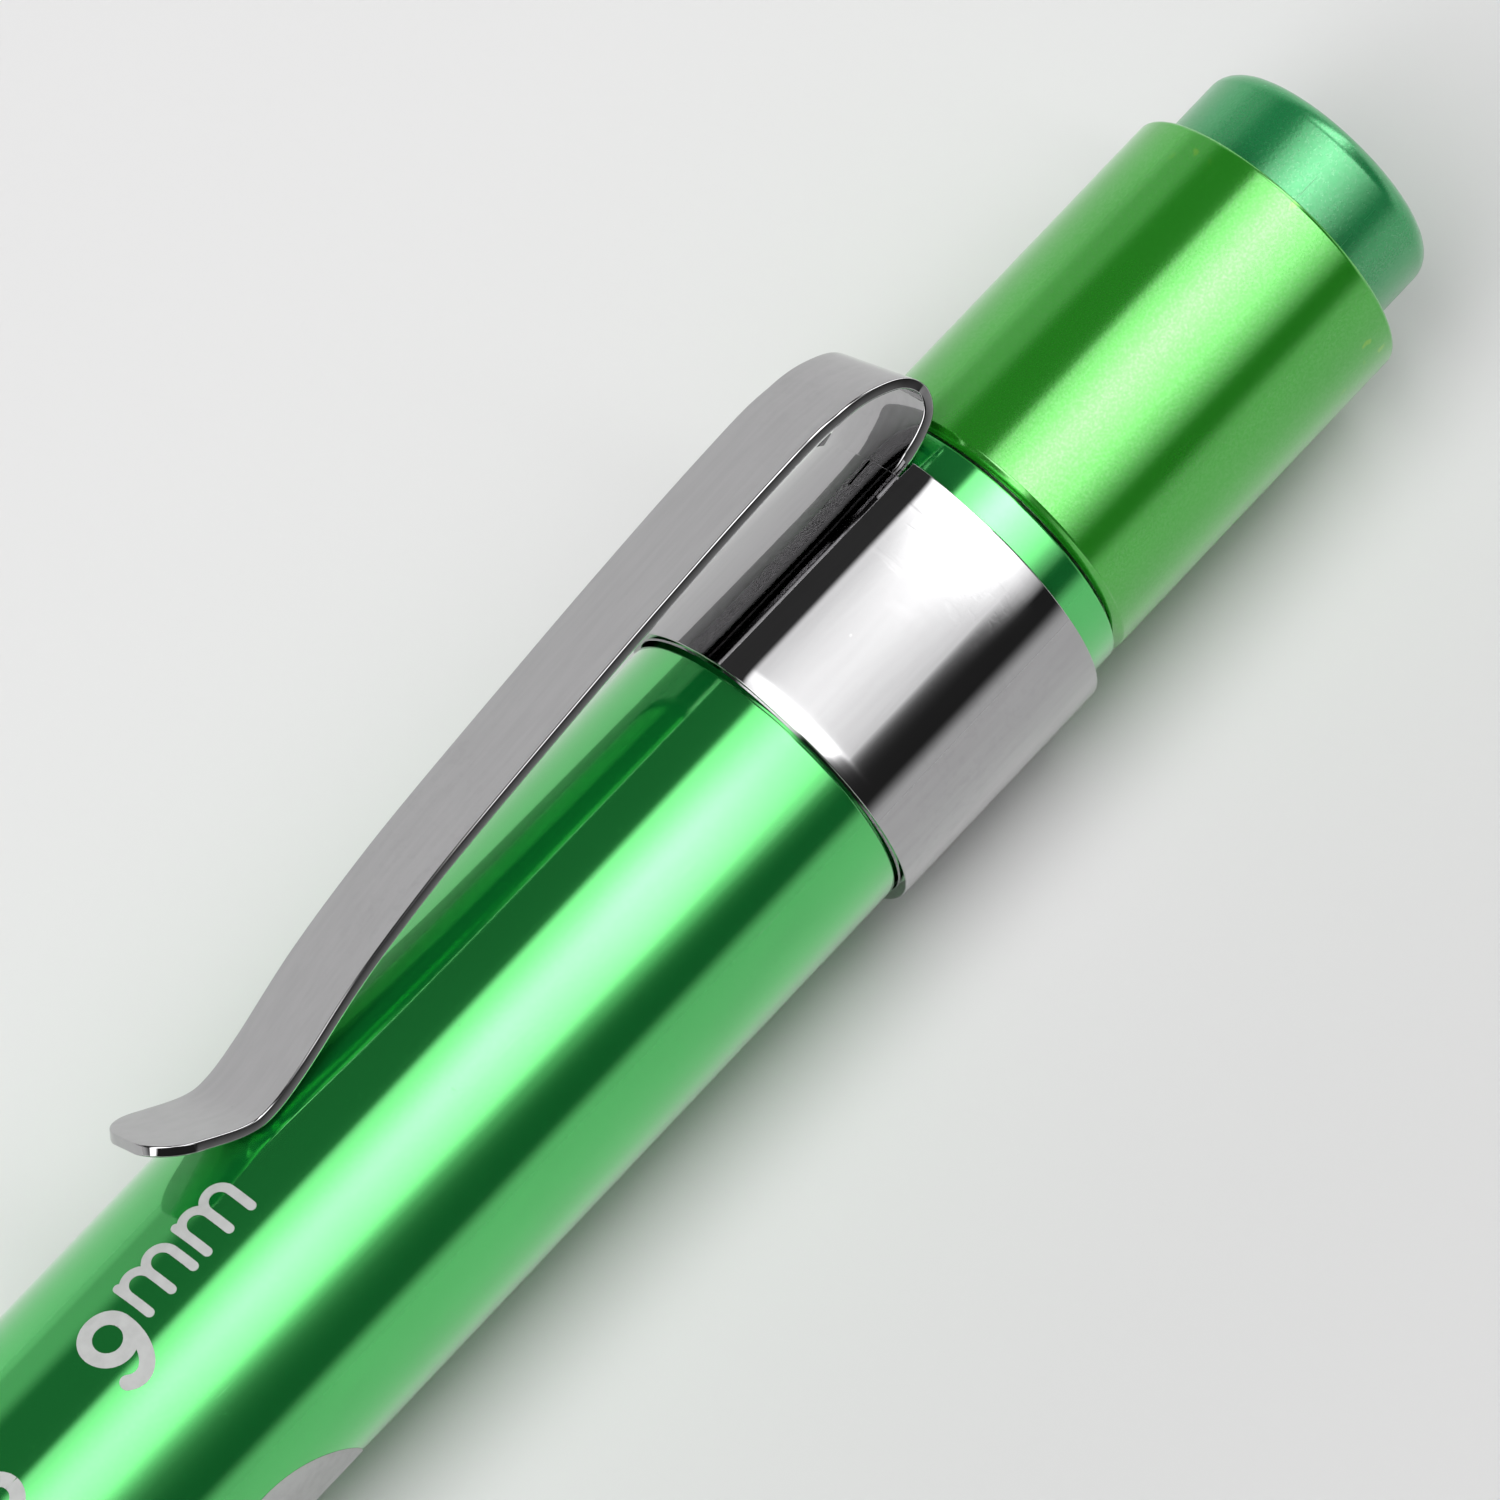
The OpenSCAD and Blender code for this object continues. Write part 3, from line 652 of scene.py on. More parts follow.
@dataclass(frozen=True)
class Anodised(Finish):
    """Dyed and sealed aluminium: a tinted metal with some dye haze and a hard clear oxide on top."""

    tint: Colour  # The colour that the dyed metal reflects
    haze: Colour  # The colour that the dye scatters
    metal: float  # How much of it acts as metal
    roughness: float  # Spread of the metal's reflections
    seal_roughness: float  # Spread of the oxide's reflections
    grain: Grain  # How it was worked
    depth: float  # Depth of that grain
    sparkle: float  # How strongly fine grains show
    specks_from: float | None = None  # Place along the axis from which a few grains of unsealed dye show
    seal_index: float = 1.52  # Refractive index of the oxide

    def paint(self, recipe: Recipe) -> None:
        """Writes cloudy dye, worked grain, a few hairline scratches, and edges where the dye is thin."""
        grain = recipe.noise(self.grain.value, 3.0)
        cloud = recipe.noise((90.0, 260.0, 260.0))
        scratch = recipe.specks((350.0, 9000.0, 9000.0), 0.73, 0.8, (0.3, 0.12, 0.25))
        dust = recipe.specks(4200.0, 0.75, 0.82)
        fine = recipe.noise(9500.0)
        edge = recipe.node("ShaderNodeAttribute", {"attribute_name": "edge"}).output("Fac")
        thin = edge * recipe.step(recipe.noise(420.0, 3.0), 0.42, 0.66) * 0.35
        dark = tuple(0.86 * part for part in self.tint)
        pale = tuple(0.6 * part + 0.25 for part in self.tint)
        colour = recipe.mix(recipe.step(cloud, 0.3, 0.7), dark, self.tint)
        bare = recipe.step(fine, 0.35, 0.75) * self.sparkle + thin + scratch * 0.15
        colour = recipe.mix(bare, colour, pale)
        if self.specks_from is not None:
            grains = recipe.specks((1250.0, 1450.0, 1450.0), 0.62, 0.7)
            patch = recipe.step(recipe.noise((160.0, 230.0, 230.0), 1.0), 0.5, 0.62)
            patch = patch * recipe.step(recipe.axis("X"), self.specks_from, self.specks_from + 1.5 * MM)
            colour = recipe.mix(grains * patch * 0.4, colour, (0.5, 0.6, 0.06))
        relief = recipe.bump(fine, self.sparkle * 0.004 * MM, 0.5)
        metal = recipe.node("ShaderNodeBsdfPrincipled", {}, {
            "Base Color": colour, "Metallic": 1.0, "Coat Weight": 1.0, "Coat IOR": self.seal_index,
            "Coat Roughness": self.seal_roughness, "Normal": recipe.bump(grain, self.depth, 0.5, relief),
            "Roughness": (grain - 0.5) * 0.06 + scratch * 0.1 + dust * 0.1 + self.roughness})
        dye = recipe.node("ShaderNodeBsdfPrincipled", {}, {
            "Base Color": (*self.haze, 1), "Roughness": 0.6, "Specular IOR Level": 0.0})
        both = recipe.node("ShaderNodeMixShader", {}, {0: self.metal, 1: dye, 2: metal})
        recipe.node("ShaderNodeOutputMaterial", {}, {"Surface": both})


@dataclass(frozen=True)
class PolishedSteel(Finish):
    """Buffed spring steel with faint rub lines."""

    tint: Colour = (0.475, 0.472, 0.478)  # The colour that it reflects
    roughness: float = 0.036  # Spread of its reflections

    def paint(self, recipe: Recipe) -> None:
        """Writes buffing streaks, slanting rub lines in patches, and a slow waviness."""
        streak = recipe.noise((300.0, 2600.0, 2600.0), 3.0)
        lines = recipe.noise((2600.0, 320.0, 2600.0), 2.0, (0.5, 0.35, 0.6))
        patch = recipe.step(recipe.noise(110.0), 0.42, 0.66)
        pits = recipe.specks(3100.0, 0.78, 0.86)
        rubbed = recipe.step(lines, 0.5, 0.64) * patch
        dull = tuple(0.8 * part for part in self.tint)
        dulled = recipe.step(streak, 0.25, 0.75) * 0.35 + rubbed * 0.2 + pits * 0.4
        relief = recipe.bump(recipe.noise((120.0, 150.0, 150.0), 1.0), 0.006 * MM, 0.35)
        relief = recipe.bump(streak, 0.0008 * MM, 0.5, relief)
        recipe.surface(Base_Color=recipe.mix(dulled, self.tint, dull), Metallic=1.0,
                       Normal=recipe.bump(rubbed, -0.00012 * MM, 0.6, relief),
                       Roughness=(streak - 0.5) * 0.02 + rubbed * 0.012 + pits * 0.05 + self.roughness)


@dataclass(frozen=True)
class PlainMetal(Finish):
    """Turned, stamped or plated metal that is left bare."""

    tint: Colour  # The colour that it reflects
    tarnish: Colour  # The colour where it has dulled
    roughness: float  # Spread of its reflections
    grain: Grain = Grain.TURNED  # How it was worked

    def paint(self, recipe: Recipe) -> None:
        """Writes dull clouds over the bare metal, and its grain."""
        grain = recipe.noise(self.grain.value, 3.0)
        cloud = recipe.step(recipe.noise(420.0, 4.0), 0.4, 0.75)
        recipe.surface(Base_Color=recipe.mix(cloud, self.tint, self.tarnish), Metallic=1.0,
                       Roughness=(grain - 0.5) * 0.12 + cloud * 0.12 + self.roughness,
                       Normal=recipe.bump(grain, 0.004 * MM, 0.5))


@dataclass(frozen=True)
class Moulded(Finish):
    """Moulded plastic, rubber or varnish."""

    tint: Colour  # Its colour
    roughness: float  # Spread of its reflections
    texture: float = 0.004 * MM  # Depth of the mould's texture
    sheen: float = 0.0  # Strength of a clear skin

    def paint(self, recipe: Recipe) -> None:
        """Writes a fine mould texture and slightly uneven colour."""
        fine = recipe.noise(5200.0, 3.0)
        cloud = recipe.noise(340.0, 3.0)
        pale = tuple(min(1.0, 1.25 * part + 0.01) for part in self.tint)
        recipe.surface(Base_Color=recipe.mix(recipe.step(cloud, 0.35, 0.75), self.tint, pale),
                       Coat_Weight=self.sheen, Normal=recipe.bump(fine, self.texture, 0.6),
                       Roughness=(fine - 0.5) * 0.2 + (cloud - 0.5) * 0.1 + self.roughness)


@dataclass(frozen=True)
class Clear(Finish):
    """Clear moulded resin."""

    tint: Colour  # The colour of light that passes through
    roughness: float  # Spread of that light
    index: float  # Its refractive index

    def paint(self, recipe: Recipe) -> None:
        """Writes a see-through body with a faint haze of fine wiping marks."""
        wiped = recipe.noise((900.0, 3600.0, 700.0), 3.0)
        hazy = recipe.mix(recipe.step(wiped, 0.55, 0.8) * 0.15, self.tint, (0.8, 0.83, 0.85))
        recipe.surface(Base_Color=hazy, Transmission_Weight=1.0, IOR=self.index,
                       Roughness=recipe.step(wiped, 0.5, 0.8) * 0.05 + self.roughness)


@dataclass(frozen=True)
class Etched(Finish):
    """Print on the barrel: pale grey, dry and a little uneven."""

    tint: Colour  # Its colour

    def paint(self, recipe: Recipe) -> None:
        """Writes a dry, finely mottled pale layer."""
        mottle = recipe.noise(2600.0, 4.0)
        cloud = recipe.noise((500.0, 900.0, 900.0))
        worn = tuple(0.9 * part for part in self.tint)
        full = recipe.step(mottle * 0.6 + cloud * 0.4, 0.35, 0.62)
        recipe.surface(Base_Color=recipe.mix(full, worn, self.tint), Roughness=mottle * 0.2 + 0.5,
                       Normal=recipe.bump(mottle, 0.006 * MM, 0.5))


@dataclass(frozen=True)
class Sleeve(Finish):
    """A cell's printed sleeve: plain bands of colour."""

    start: float  # Where the cell starts along the axis
    length: float  # How long the cell is
    copper_to: float = 0.28  # Share of the length at which the copper band ends
    line_to: float = 0.3  # Share at which the pale line beside it ends
    soft: float = 0.003  # Share over which one colour turns into the next

    def paint(self, recipe: Recipe) -> None:
        """Writes a dark body, a copper band at the positive end and a thin pale line between the two."""
        share = (recipe.axis("X") - self.start) * (1 / self.length)
        cloud = recipe.noise(300.0, 3.0)
        colour = recipe.mix(recipe.step(cloud, 0.3, 0.7), (0.016, 0.03, 0.13), (0.02, 0.04, 0.17))
        for end, tint in ((self.line_to, (0.75, 0.76, 0.78)), (self.copper_to, (0.62, 0.24, 0.07))):
            colour = recipe.mix(1 - recipe.step(share, end - self.soft, end), colour, tint)
        recipe.surface(Base_Color=colour, Roughness=(cloud - 0.5) * 0.15 + 0.32, Coat_Weight=0.4,
                       Normal=recipe.bump(cloud, 0.01 * MM, 0.4))


BARREL_GREEN = Anodised("green_barrel", (0.108, 0.6, 0.155), (0.02, 0.76, 0.13), 0.88, 0.1, 0.05,
                        Grain.DRAWN, 0.0006 * MM, 0.05)
TAIL_GREEN = Anodised("green_tail", (0.108, 0.44, 0.088), (0.045, 0.66, 0.03), 0.76, 0.16, 0.13,
                      Grain.BLASTED, 0.003 * MM, 0.22, 118.5 * MM)
BUTTON_GREEN = Anodised("green_button", (0.08, 0.37, 0.15), (0.02, 0.5, 0.14), 0.72, 0.26, 0.22,
                        Grain.BLASTED, 0.012 * MM, 0.24)
CLIP_STEEL = PolishedSteel("clip_steel")
SPRING_STEEL = PlainMetal("spring_steel", (0.62, 0.62, 0.63), (0.42, 0.42, 0.43), 0.22, Grain.DRAWN)
INSERT_METAL = PlainMetal("insert_metal", (0.66, 0.67, 0.68), (0.5, 0.5, 0.5), 0.25)
CONTACT_BRASS = PlainMetal("contact_brass", (0.78, 0.56, 0.22), (0.5, 0.33, 0.12), 0.24)
LEAD_TIN = PlainMetal("lead_tin", (0.7, 0.7, 0.7), (0.5, 0.5, 0.52), 0.3, Grain.DRAWN)
MIRROR_CUP = PlainMetal("mirror_cup", (0.88, 0.88, 0.89), (0.82, 0.82, 0.83), 0.05, Grain.BLASTED)
CELL_NICKEL = PlainMetal("cell_nickel", (0.7, 0.68, 0.64), (0.55, 0.53, 0.5), 0.22)
CLEAR_LENS = Clear("clear_lens", (0.96, 0.98, 0.99), 0.02, 1.49)
LED_EPOXY = Moulded("led_epoxy", (0.88, 0.84, 0.55), 0.2, 0.001 * MM, 0.8)
HOLDER_PLASTIC = Moulded("holder_plastic", (0.72, 0.69, 0.6), 0.45)
BLACK_PLASTIC = Moulded("black_plastic", (0.012, 0.012, 0.013), 0.45)
BLACK_RUBBER = Moulded("black_rubber", (0.008, 0.008, 0.008), 0.6, 0.008 * MM)
BOARD_GREEN = Moulded("board_green", (0.02, 0.17, 0.05), 0.35, 0.002 * MM, 0.5)
RESISTOR_BLACK = Moulded("resistor_black", (0.02, 0.02, 0.022), 0.5)
SCALE_GREY = Etched("green_barrel", (0.56, 0.57, 0.56))


# Pieces

def placed(name: str, data: bpy.types.ID) -> bpy.types.Object:
    """A new object in the scene, at the origin.

    Args:
        name: Its name.
        data: Its mesh or camera.

    Returns:
        The object.
    """
    thing = bpy.data.objects.new(name, data)
    bpy.context.scene.collection.objects.link(thing)
    return thing


def add_piece(shell: Shell, name: str, finish: Finish, *nodes: str) -> bpy.types.Object:
    """Adds a new piece at the origin, dressed, and hides the nodes of the frame that it stands for.

    Args:
        shell: Its surface, with its place in it.
        name: Its name.
        finish: Its finish.
        nodes: The nodes of the frame that it stands for.

    Returns:
        The piece, which still has to ride on a body.
    """
    piece = placed(name, shell.mesh(name))
    piece.data.materials.append(material_of(finish))
    if nodes:
        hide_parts(*nodes)
    log.info("%s: %d faces, %s", name, len(piece.data.polygons), finish.slot)
    return piece


def dress(finish: Finish, *nodes: str) -> None:
    """Gives nodes of the frame that stay their material.

    Args:
        finish: Their finish.
        nodes: The nodes' names.
    """
    for node in nodes:
        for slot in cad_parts[node].material_slots:
            slot.material = material_of(finish)
        log.info("%s: kept, %s", node, finish.slot)


@dataclass(frozen=True)
class Turned:
    """A turned piece that stands for a node."""

    name: str  # The piece's name
    node: str  # The node's name
    finish: Finish  # Its finish
    outline: Outline  # Its half section
    body: Body = Body.LIGHT  # The body that it rides on
    thread: Thread | None = None  # A thread cut into it
    side_y: float = 0.0  # How far its axis lies from the light's, along Y

    def add(self) -> bpy.types.Object:
        """Builds the piece and sets it on its body.

        Returns:
            The piece.
        """
        if self.thread is None:
            shell = self.outline.turned(side_y=self.side_y)
        else:
            fine = self.outline.finer(self.thread.pitch / THREAD_STEPS)
            shell = fine.turned(THREAD_SEGMENTS, self.thread.relief)
        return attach(add_piece(shell, self.name, self.finish, self.node), self.body.value)


@dataclass(frozen=True)
class Spigot:
    """The screwed end that the head and the tail's insert both have."""

    crest_r: float = 5.39 * MM  # Outer radius of its thread
    root_r: float = 5.09 * MM  # Radius at the bottom of its thread
    bore_r: float = 4.34 * MM  # Radius of its bore
    lead_in: float = 0.3 * MM  # Length of the slope at its free end
    groove_half_w: float = 0.41 * MM  # Half the width of its O-ring's groove
    groove_r: float = 4.69 * MM  # Radius at the bottom of that groove

    def groove(self, seal: Span) -> tuple[Corner, ...]:
        """The groove round an O-ring.

        Args:
            seal: Where the ring's node lies.

        Returns:
            The groove's corners, from the nose towards the tail.
        """
        middle = (seal.x0 + seal.x1) / 2
        x0, x1 = middle - self.groove_half_w, middle + self.groove_half_w
        return (Corner(x0, self.crest_r), Corner(x0, self.groove_r), Corner(x1, self.groove_r),
                Corner(x1, self.crest_r))


@dataclass(frozen=True)
class Head:
    """The nose with its lens, reflector and LED."""

    spigot: Spigot = Spigot()  # The screwed end
    nose_r: float = 4.5 * MM  # Radius of the nose's front
    nose_round: float = 0.35 * MM  # Rounding of the nose's front edge
    opening_r: float = 3.0 * MM  # Radius of the opening
    lip_round: float = 0.2 * MM  # Rounding of the opening's edge
    cavity_r: float = 3.6 * MM  # Radius of the seat behind it
    cone_round: float = 1.6 * MM  # Rounding where the cone meets the straight stretch
    chamfer: float = 0.28 * MM  # Chamfer at the end of the straight stretch
    # Rounding of that chamfer's edge, and of the lens where its dome meets its flange
    soft_round: float = 0.1 * MM
    thread_inset: float = 0.2 * MM  # How far the thread stays from the ends of its stretch
    lens_gap: float = 0.05 * MM  # Gap between the lens and the opening
    dome: float = 0.43 * MM  # How far the lens bulges
    dome_steps: int = 6  # Steps of the radius in which the dome is drawn
    dome_round: float = 40 * MM  # Rounding of the dome's corners
    cup_wall: float = 0.28 * MM  # Wall of the reflector's mouth
    cup_corners: int = 9  # Corners of the reflector's inside
    cup_round: float = 6 * MM  # Rounding of those corners
    throat_r: float = 2.59 * MM  # Radius of the reflector's throat
    led_flange: float = 1.0 * MM  # Length of the LED's flange
    led_r: float = 2.5 * MM  # Radius of the LED's dome
    led_round: float = 0.15 * MM  # Rounding where the dome meets the flange

    def casing(self) -> Outline:
        """The head's shell: lip, nose, cone, straight stretch, O-ring groove, threaded spigot and bore.

        Returns:
            Its half section.
        """
        shell, gasket = Span.of("head_shell"), Span.of("lens_gasket")
        seal, holder, barrel = Span.of("head_o_ring"), Span.of("led_holder"), Span.of("barrel")
        end = self.spigot
        return rounded(
            Corner(shell.x0, self.opening_r, self.lip_round), Corner(shell.x0, self.nose_r, self.nose_round),
            Corner(0.0, barrel.r, self.cone_round),
            Corner(barrel.x0 - self.chamfer, barrel.r, self.soft_round),
            Corner(barrel.x0, barrel.r - self.chamfer), Corner(barrel.x0, end.crest_r), *end.groove(seal),
            Corner(shell.x1 - end.lead_in, end.crest_r), Corner(shell.x1, end.root_r),
            Corner(shell.x1, end.bore_r), Corner(holder.x0, end.bore_r), Corner(holder.x0, self.cavity_r),
            Corner(gasket.x0, self.cavity_r), Corner(gasket.x0, self.opening_r))

    def lens(self) -> Outline:
        """The lens: a shallow dome whose depth falls with the square of the radius, on a flat flange.

        The dome's corners are where its tangents meet: the k-th of n at (k + 1/2)/n of the radius and
        k(k + 1)/n² of the depth.

        Returns:
            Its half section.
        """
        lens, gasket = Span.of("lens"), Span.of("lens_gasket")
        dome_r = self.opening_r - self.lens_gap
        n = self.dome_steps
        dome = [Corner(lens.x0 + self.dome * k * (k + 1) / n ** 2, dome_r * (k + 0.5) / n, self.dome_round)
                for k in range(n - 1)]
        return rounded(Corner(lens.x0, 0.0), *dome, Corner(gasket.x1, dome_r, self.soft_round),
                       Corner(gasket.x1, lens.r), Corner(lens.x1, lens.r), Corner(lens.x1, 0.0))

    def cup(self) -> Outline:
        """The reflector: its inside narrows as a parabola, by the square root of the way left to its throat.

        Returns:
            Its half section.
        """
        cup = Span.of("reflector")
        depth, widening = cup.x1 - cup.x0, cup.r - self.cup_wall - self.throat_r
        shares = np.linspace(0, 1, self.cup_corners)
        inside = [Corner(cup.x0 + share * depth, self.throat_r + widening * math.sqrt(1 - share),
                         self.cup_round) for share in shares]
        return rounded(Corner(cup.x1, cup.r), Corner(cup.x0, cup.r), *inside)

    def led(self) -> Outline:
        """The LED: a round dome on a flange.

        Returns:
            Its half section.
        """
        led = Span.of("led")
        flange = led.x1 - self.led_flange
        return rounded(Corner(led.x0, 0.0), Corner(led.x0, self.led_r, self.led_r),
                       Corner(flange, self.led_r, self.led_round), Corner(flange, led.r),
                       Corner(led.x1, led.r), Corner(led.x1, 0.0))

    def build(self) -> None:
        """Adds the head's pieces, and dresses the ones behind the reflector."""
        seal, casing = Span.of("head_o_ring"), Span.of("head_shell")
        thread = Thread(seal.x1 + self.thread_inset, casing.x1 - self.thread_inset, self.spigot.crest_r)
        Turned("head_casing", "head_shell", BARREL_GREEN, self.casing(), thread=thread).add()
        Turned("front_lens", "lens", CLEAR_LENS, self.lens()).add()
        Turned("reflector_cup", "reflector", MIRROR_CUP, self.cup()).add()
        Turned("led_dome", "led", LED_EPOXY, self.led()).add()
        Turned("head_seal_ring", "head_o_ring", BLACK_RUBBER, ring(seal)).add()
        dress(BLACK_RUBBER, "lens_gasket")
        dress(LEAD_TIN, "led_leads")
        dress(HOLDER_PLASTIC, "led_holder")
        dress(BLACK_PLASTIC, "lead_spacer")
        dress(RESISTOR_BLACK, "resistor")
        dress(BOARD_GREEN, "driver_board")
        dress(CONTACT_BRASS, "positive_contact", "board_retainer")


@dataclass(frozen=True)
class Barrel:
    """The tube, with a neck for the clip, and the collar that holds the clip on."""

    bore_r: float = 5.45 * MM  # Radius of the bore
    chamfer: float = 0.28 * MM  # Chamfer at the head
    chamfer_round: float = 0.15 * MM  # Rounding of that chamfer's edge
    shoulder: float = 0.1 * MM  # Rounding of the edge at the clip
    neck_r: float = 6.14 * MM  # Radius of the neck
    gap: float = 0.15 * MM  # Gap between the tube's shoulder and the clip's band
    collar_chamfer: float = 0.06 * MM  # Chamfer of the collar's edges
    collar_gap: float = 0.03 * MM  # Gap between the collar and the neck

    def build(self) -> None:
        """Adds the tube and the collar."""
        tube, band, collar = Span.of("barrel"), Span.of("clip_band"), Span.of("retaining_collar")
        shoulder = band.x0 - self.gap
        wall = rounded(
            Corner(tube.x0, self.bore_r), Corner(tube.x0, tube.r - self.chamfer),
            Corner(tube.x0 + self.chamfer, tube.r, self.chamfer_round),
            Corner(shoulder, tube.r, self.shoulder), Corner(shoulder, self.neck_r),
            Corner(tube.x1, self.neck_r), Corner(tube.x1, self.bore_r))
        cut, inner_r = self.collar_chamfer, self.neck_r + self.collar_gap
        rim = rounded(
            Corner(collar.x0, inner_r), Corner(collar.x0, collar.r - cut), Corner(collar.x0 + cut, collar.r),
            Corner(collar.x1 - cut, collar.r), Corner(collar.x1, collar.r - cut), Corner(collar.x1, inner_r))
        Turned("barrel_tube", "barrel", BARREL_GREEN, wall).add()
        Turned("collar_ring", "retaining_collar", BARREL_GREEN, rim).add()


# Strokes of the scale's signs, as shares of a sign's height, and the points along each

CURVE_POINTS = 60
BAR_POINTS = 24


def curve(cx: float, cy: float, rx: float, ry: float, start: float, end: float) -> Array:
    """Part of an ellipse: (cx + rx cos t, cy + ry sin t) from one angle to another.

    Args:
        cx: Its middle, to the right.
        cy: Its middle, upwards.
        rx: Half its width.
        ry: Half its height.
        start: First angle, in degrees from the right, counter-clockwise.
        end: Last angle.

    Returns:
        Points along it.
    """
    t = np.radians(np.linspace(start, end, CURVE_POINTS))
    return np.stack([cx + rx * np.cos(t), cy + ry * np.sin(t)], axis=-1)


def bar(x0: float, y0: float, x1: float, y1: float) -> Array:
    """Points along a straight stroke from (x0, y0) to (x1, y1)."""
    return np.linspace((x0, y0), (x1, y1), BAR_POINTS)


SIGNS: dict[str, tuple[Array, ...]] = {
    "2": (curve(0.34, 0.67, 0.25, 0.245, 160, -38), bar(0.54, 0.52, 0.1, 0.086), bar(0.1, 0.086, 0.6, 0.086)),
    "3": (curve(0.33, 0.705, 0.22, 0.21, 150, -90), curve(0.33, 0.29, 0.255, 0.205, 90, -150)),
    "4": (bar(0.46, 0.914, 0.09, 0.3), bar(0.09, 0.3, 0.62, 0.3), bar(0.47, 0.914, 0.47, 0.086)),
    "5": (bar(0.55, 0.914, 0.18, 0.914), bar(0.18, 0.914, 0.15, 0.54),
          curve(0.32, 0.35, 0.265, 0.265, 128, -140)),
    "6": (curve(0.343, 0.343, 0.2575, 0.2575, 0, 360), curve(0.416, 0.38, 0.33, 0.534, 180, 68)),
    "7": (bar(0.09, 0.914, 0.6, 0.914), bar(0.6, 0.914, 0.25, 0.086)),
    "8": (curve(0.343, 0.31, 0.2575, 0.225, 0, 360), curve(0.343, 0.72, 0.215, 0.195, 0, 360)),
    "9": (curve(0.343, 0.657, 0.2575, 0.2575, 0, 360), curve(0.27, 0.62, 0.33, 0.534, 0, -118)),
    "m": (bar(0.11, 0.05, 0.11, 0.89), curve(0.408, 0.58, 0.298, 0.33, 180, 0), bar(0.706, 0.58, 0.706, 0.05),
          curve(1.004, 0.58, 0.298, 0.33, 180, 0), bar(1.302, 0.58, 1.302, 0.05)),
}
# Signs whose strokes end square, because they have no sharp corners
SQUARE = "368"


@dataclass(frozen=True)
class PupilScale:
    """The printed scale: a row of dots of 9 to 2 mm, with their numbers beside them."""

    largest: int = 9  # The first dot's size in whole millimetres
    smallest: int = 2  # The last dot's size
    first_x: float = 60.95 * MM  # Middle of the first dot along the axis
    dot_angle: float = math.radians(-104)  # Angle of the row of dots round the axis
    gap: float = 0.12 * MM  # Gap between two dots
    sign_foot: float = math.radians(-5)  # Angle of the numbers' feet
    sign_h: float = 3.35 * MM  # Height of a number
    sign_w: float = 2.4 * MM  # Width of a number
    stroke: float = 0.58 * MM  # Width of a stroke
    # How far the smaller numbers stand from their dots' middles, towards the tail
    sign_shift: float = 1.5 * MM
    unit_x: float = 62.39 * MM  # Where the unit starts
    unit_foot: float = math.radians(9.6)  # Angle of the unit's foot
    unit_h: float = 1.95 * MM  # Height of the unit's letters
    unit_advance: float = 3.05 * MM  # From one of its letters to the next
    unit_stroke: float = 0.385 * MM  # Width of its strokes
    proud: float = 0.012 * MM  # How far the print stands on the barrel
    sunk: float = 0.01 * MM  # How far it reaches into the barrel
    # How much higher each further stroke of a sign lies, so that no two tops fall together
    layer: float = 0.002 * MM
    dot_rows: int = 20  # Circles from a dot's middle to its rim
    dot_columns: int = 96  # Points on each of them
    end_steps: int = 9  # Places along each end of a stroke
    stroke_steps: int = 80  # Places along its middle
    least_w: float = 0.0001 * MM  # Half the width that a round end draws in to

    def wrapped(self, along: Array, round_way: Array, high: Array) -> tuple[Array, Array]:
        """Lays flat places round the barrel: the angle is the way round divided by the radius.

        Args:
            along: Places along the axis.
            round_way: Way round the barrel from straight up.
            high: Height above the barrel.

        Returns:
            The points, and the outward directions there.
        """
        r = Span.of("barrel").r
        return around(along, r + high, round_way / r), around(np.zeros_like(along), 1.0, round_way / r)

    def dot(self, x: float, r: float) -> Shell:
        """A flat disc laid on the barrel: circles from the top's middle to its rim and back underneath.

        Args:
            x: Its middle along the axis.
            r: Its radius.

        Returns:
            The closed surface.
        """
        t = -circle(self.dot_columns)
        out = np.linspace(0, 1, self.dot_rows)
        way = np.concatenate([out, out[::-1]])[:, None]
        high = np.repeat([self.proud, -self.sunk], self.dot_rows)[:, None]
        middle = self.dot_angle * Span.of("barrel").r
        points, normals = self.wrapped(x + r * way * np.cos(t), middle + r * way * np.sin(t), high + 0 * t)
        return skin(points, normals, False)

    def stroke_shell(self, path: Array, width: float, square: bool, lift: float) -> Shell:
        """A stroke along a path. A round end's half width falls as a quarter circle over its last stretch.

        Args:
            path: Flat points along it: along the axis, and round the barrel.
            width: Its width.
            square: Whether its ends are cut square where the path ends.
            lift: How much higher than the other print its top lies.

        Returns:
            The closed surface.
        """
        half = width / 2
        way = way_along(path)
        over = 0.0 if square else half
        ends = half * (1 - np.cos(np.linspace(0, math.pi / 2, self.end_steps)))
        total = way[-1] + 2 * over
        middle = np.linspace(half, total - half, self.stroke_steps)[1:-1]
        places = np.concatenate([ends, middle, (total - ends)[::-1]])
        on_path = np.clip(places - over, 0, way[-1])
        flat = np.stack([np.interp(on_path, way, column) for column in path.T], axis=1)
        ahead = unit(np.stack([np.interp(on_path, way, np.gradient(column)) for column in path.T], axis=1))
        flat = flat + ahead * (places - over - on_path)[:, None]
        left = np.minimum(places, total - places)
        wide = np.full(len(places), half)
        if not square:
            wide = np.sqrt(np.maximum(half * half - np.maximum(half - left, 0) ** 2, self.least_w ** 2))
        side = np.stack([-ahead[:, 1], ahead[:, 0]], axis=1)
        ways = np.array([1.0, -1.0, -1.0, 1.0])
        top = self.proud + lift
        high = np.array([top, top, -self.sunk, -self.sunk])
        place = flat[:, None] + side[:, None] * (wide[:, None] * ways)[..., None]
        points, normals = self.wrapped(place[..., 0], place[..., 1], np.broadcast_to(high, place.shape[:2]))
        return skin(points, normals, False)

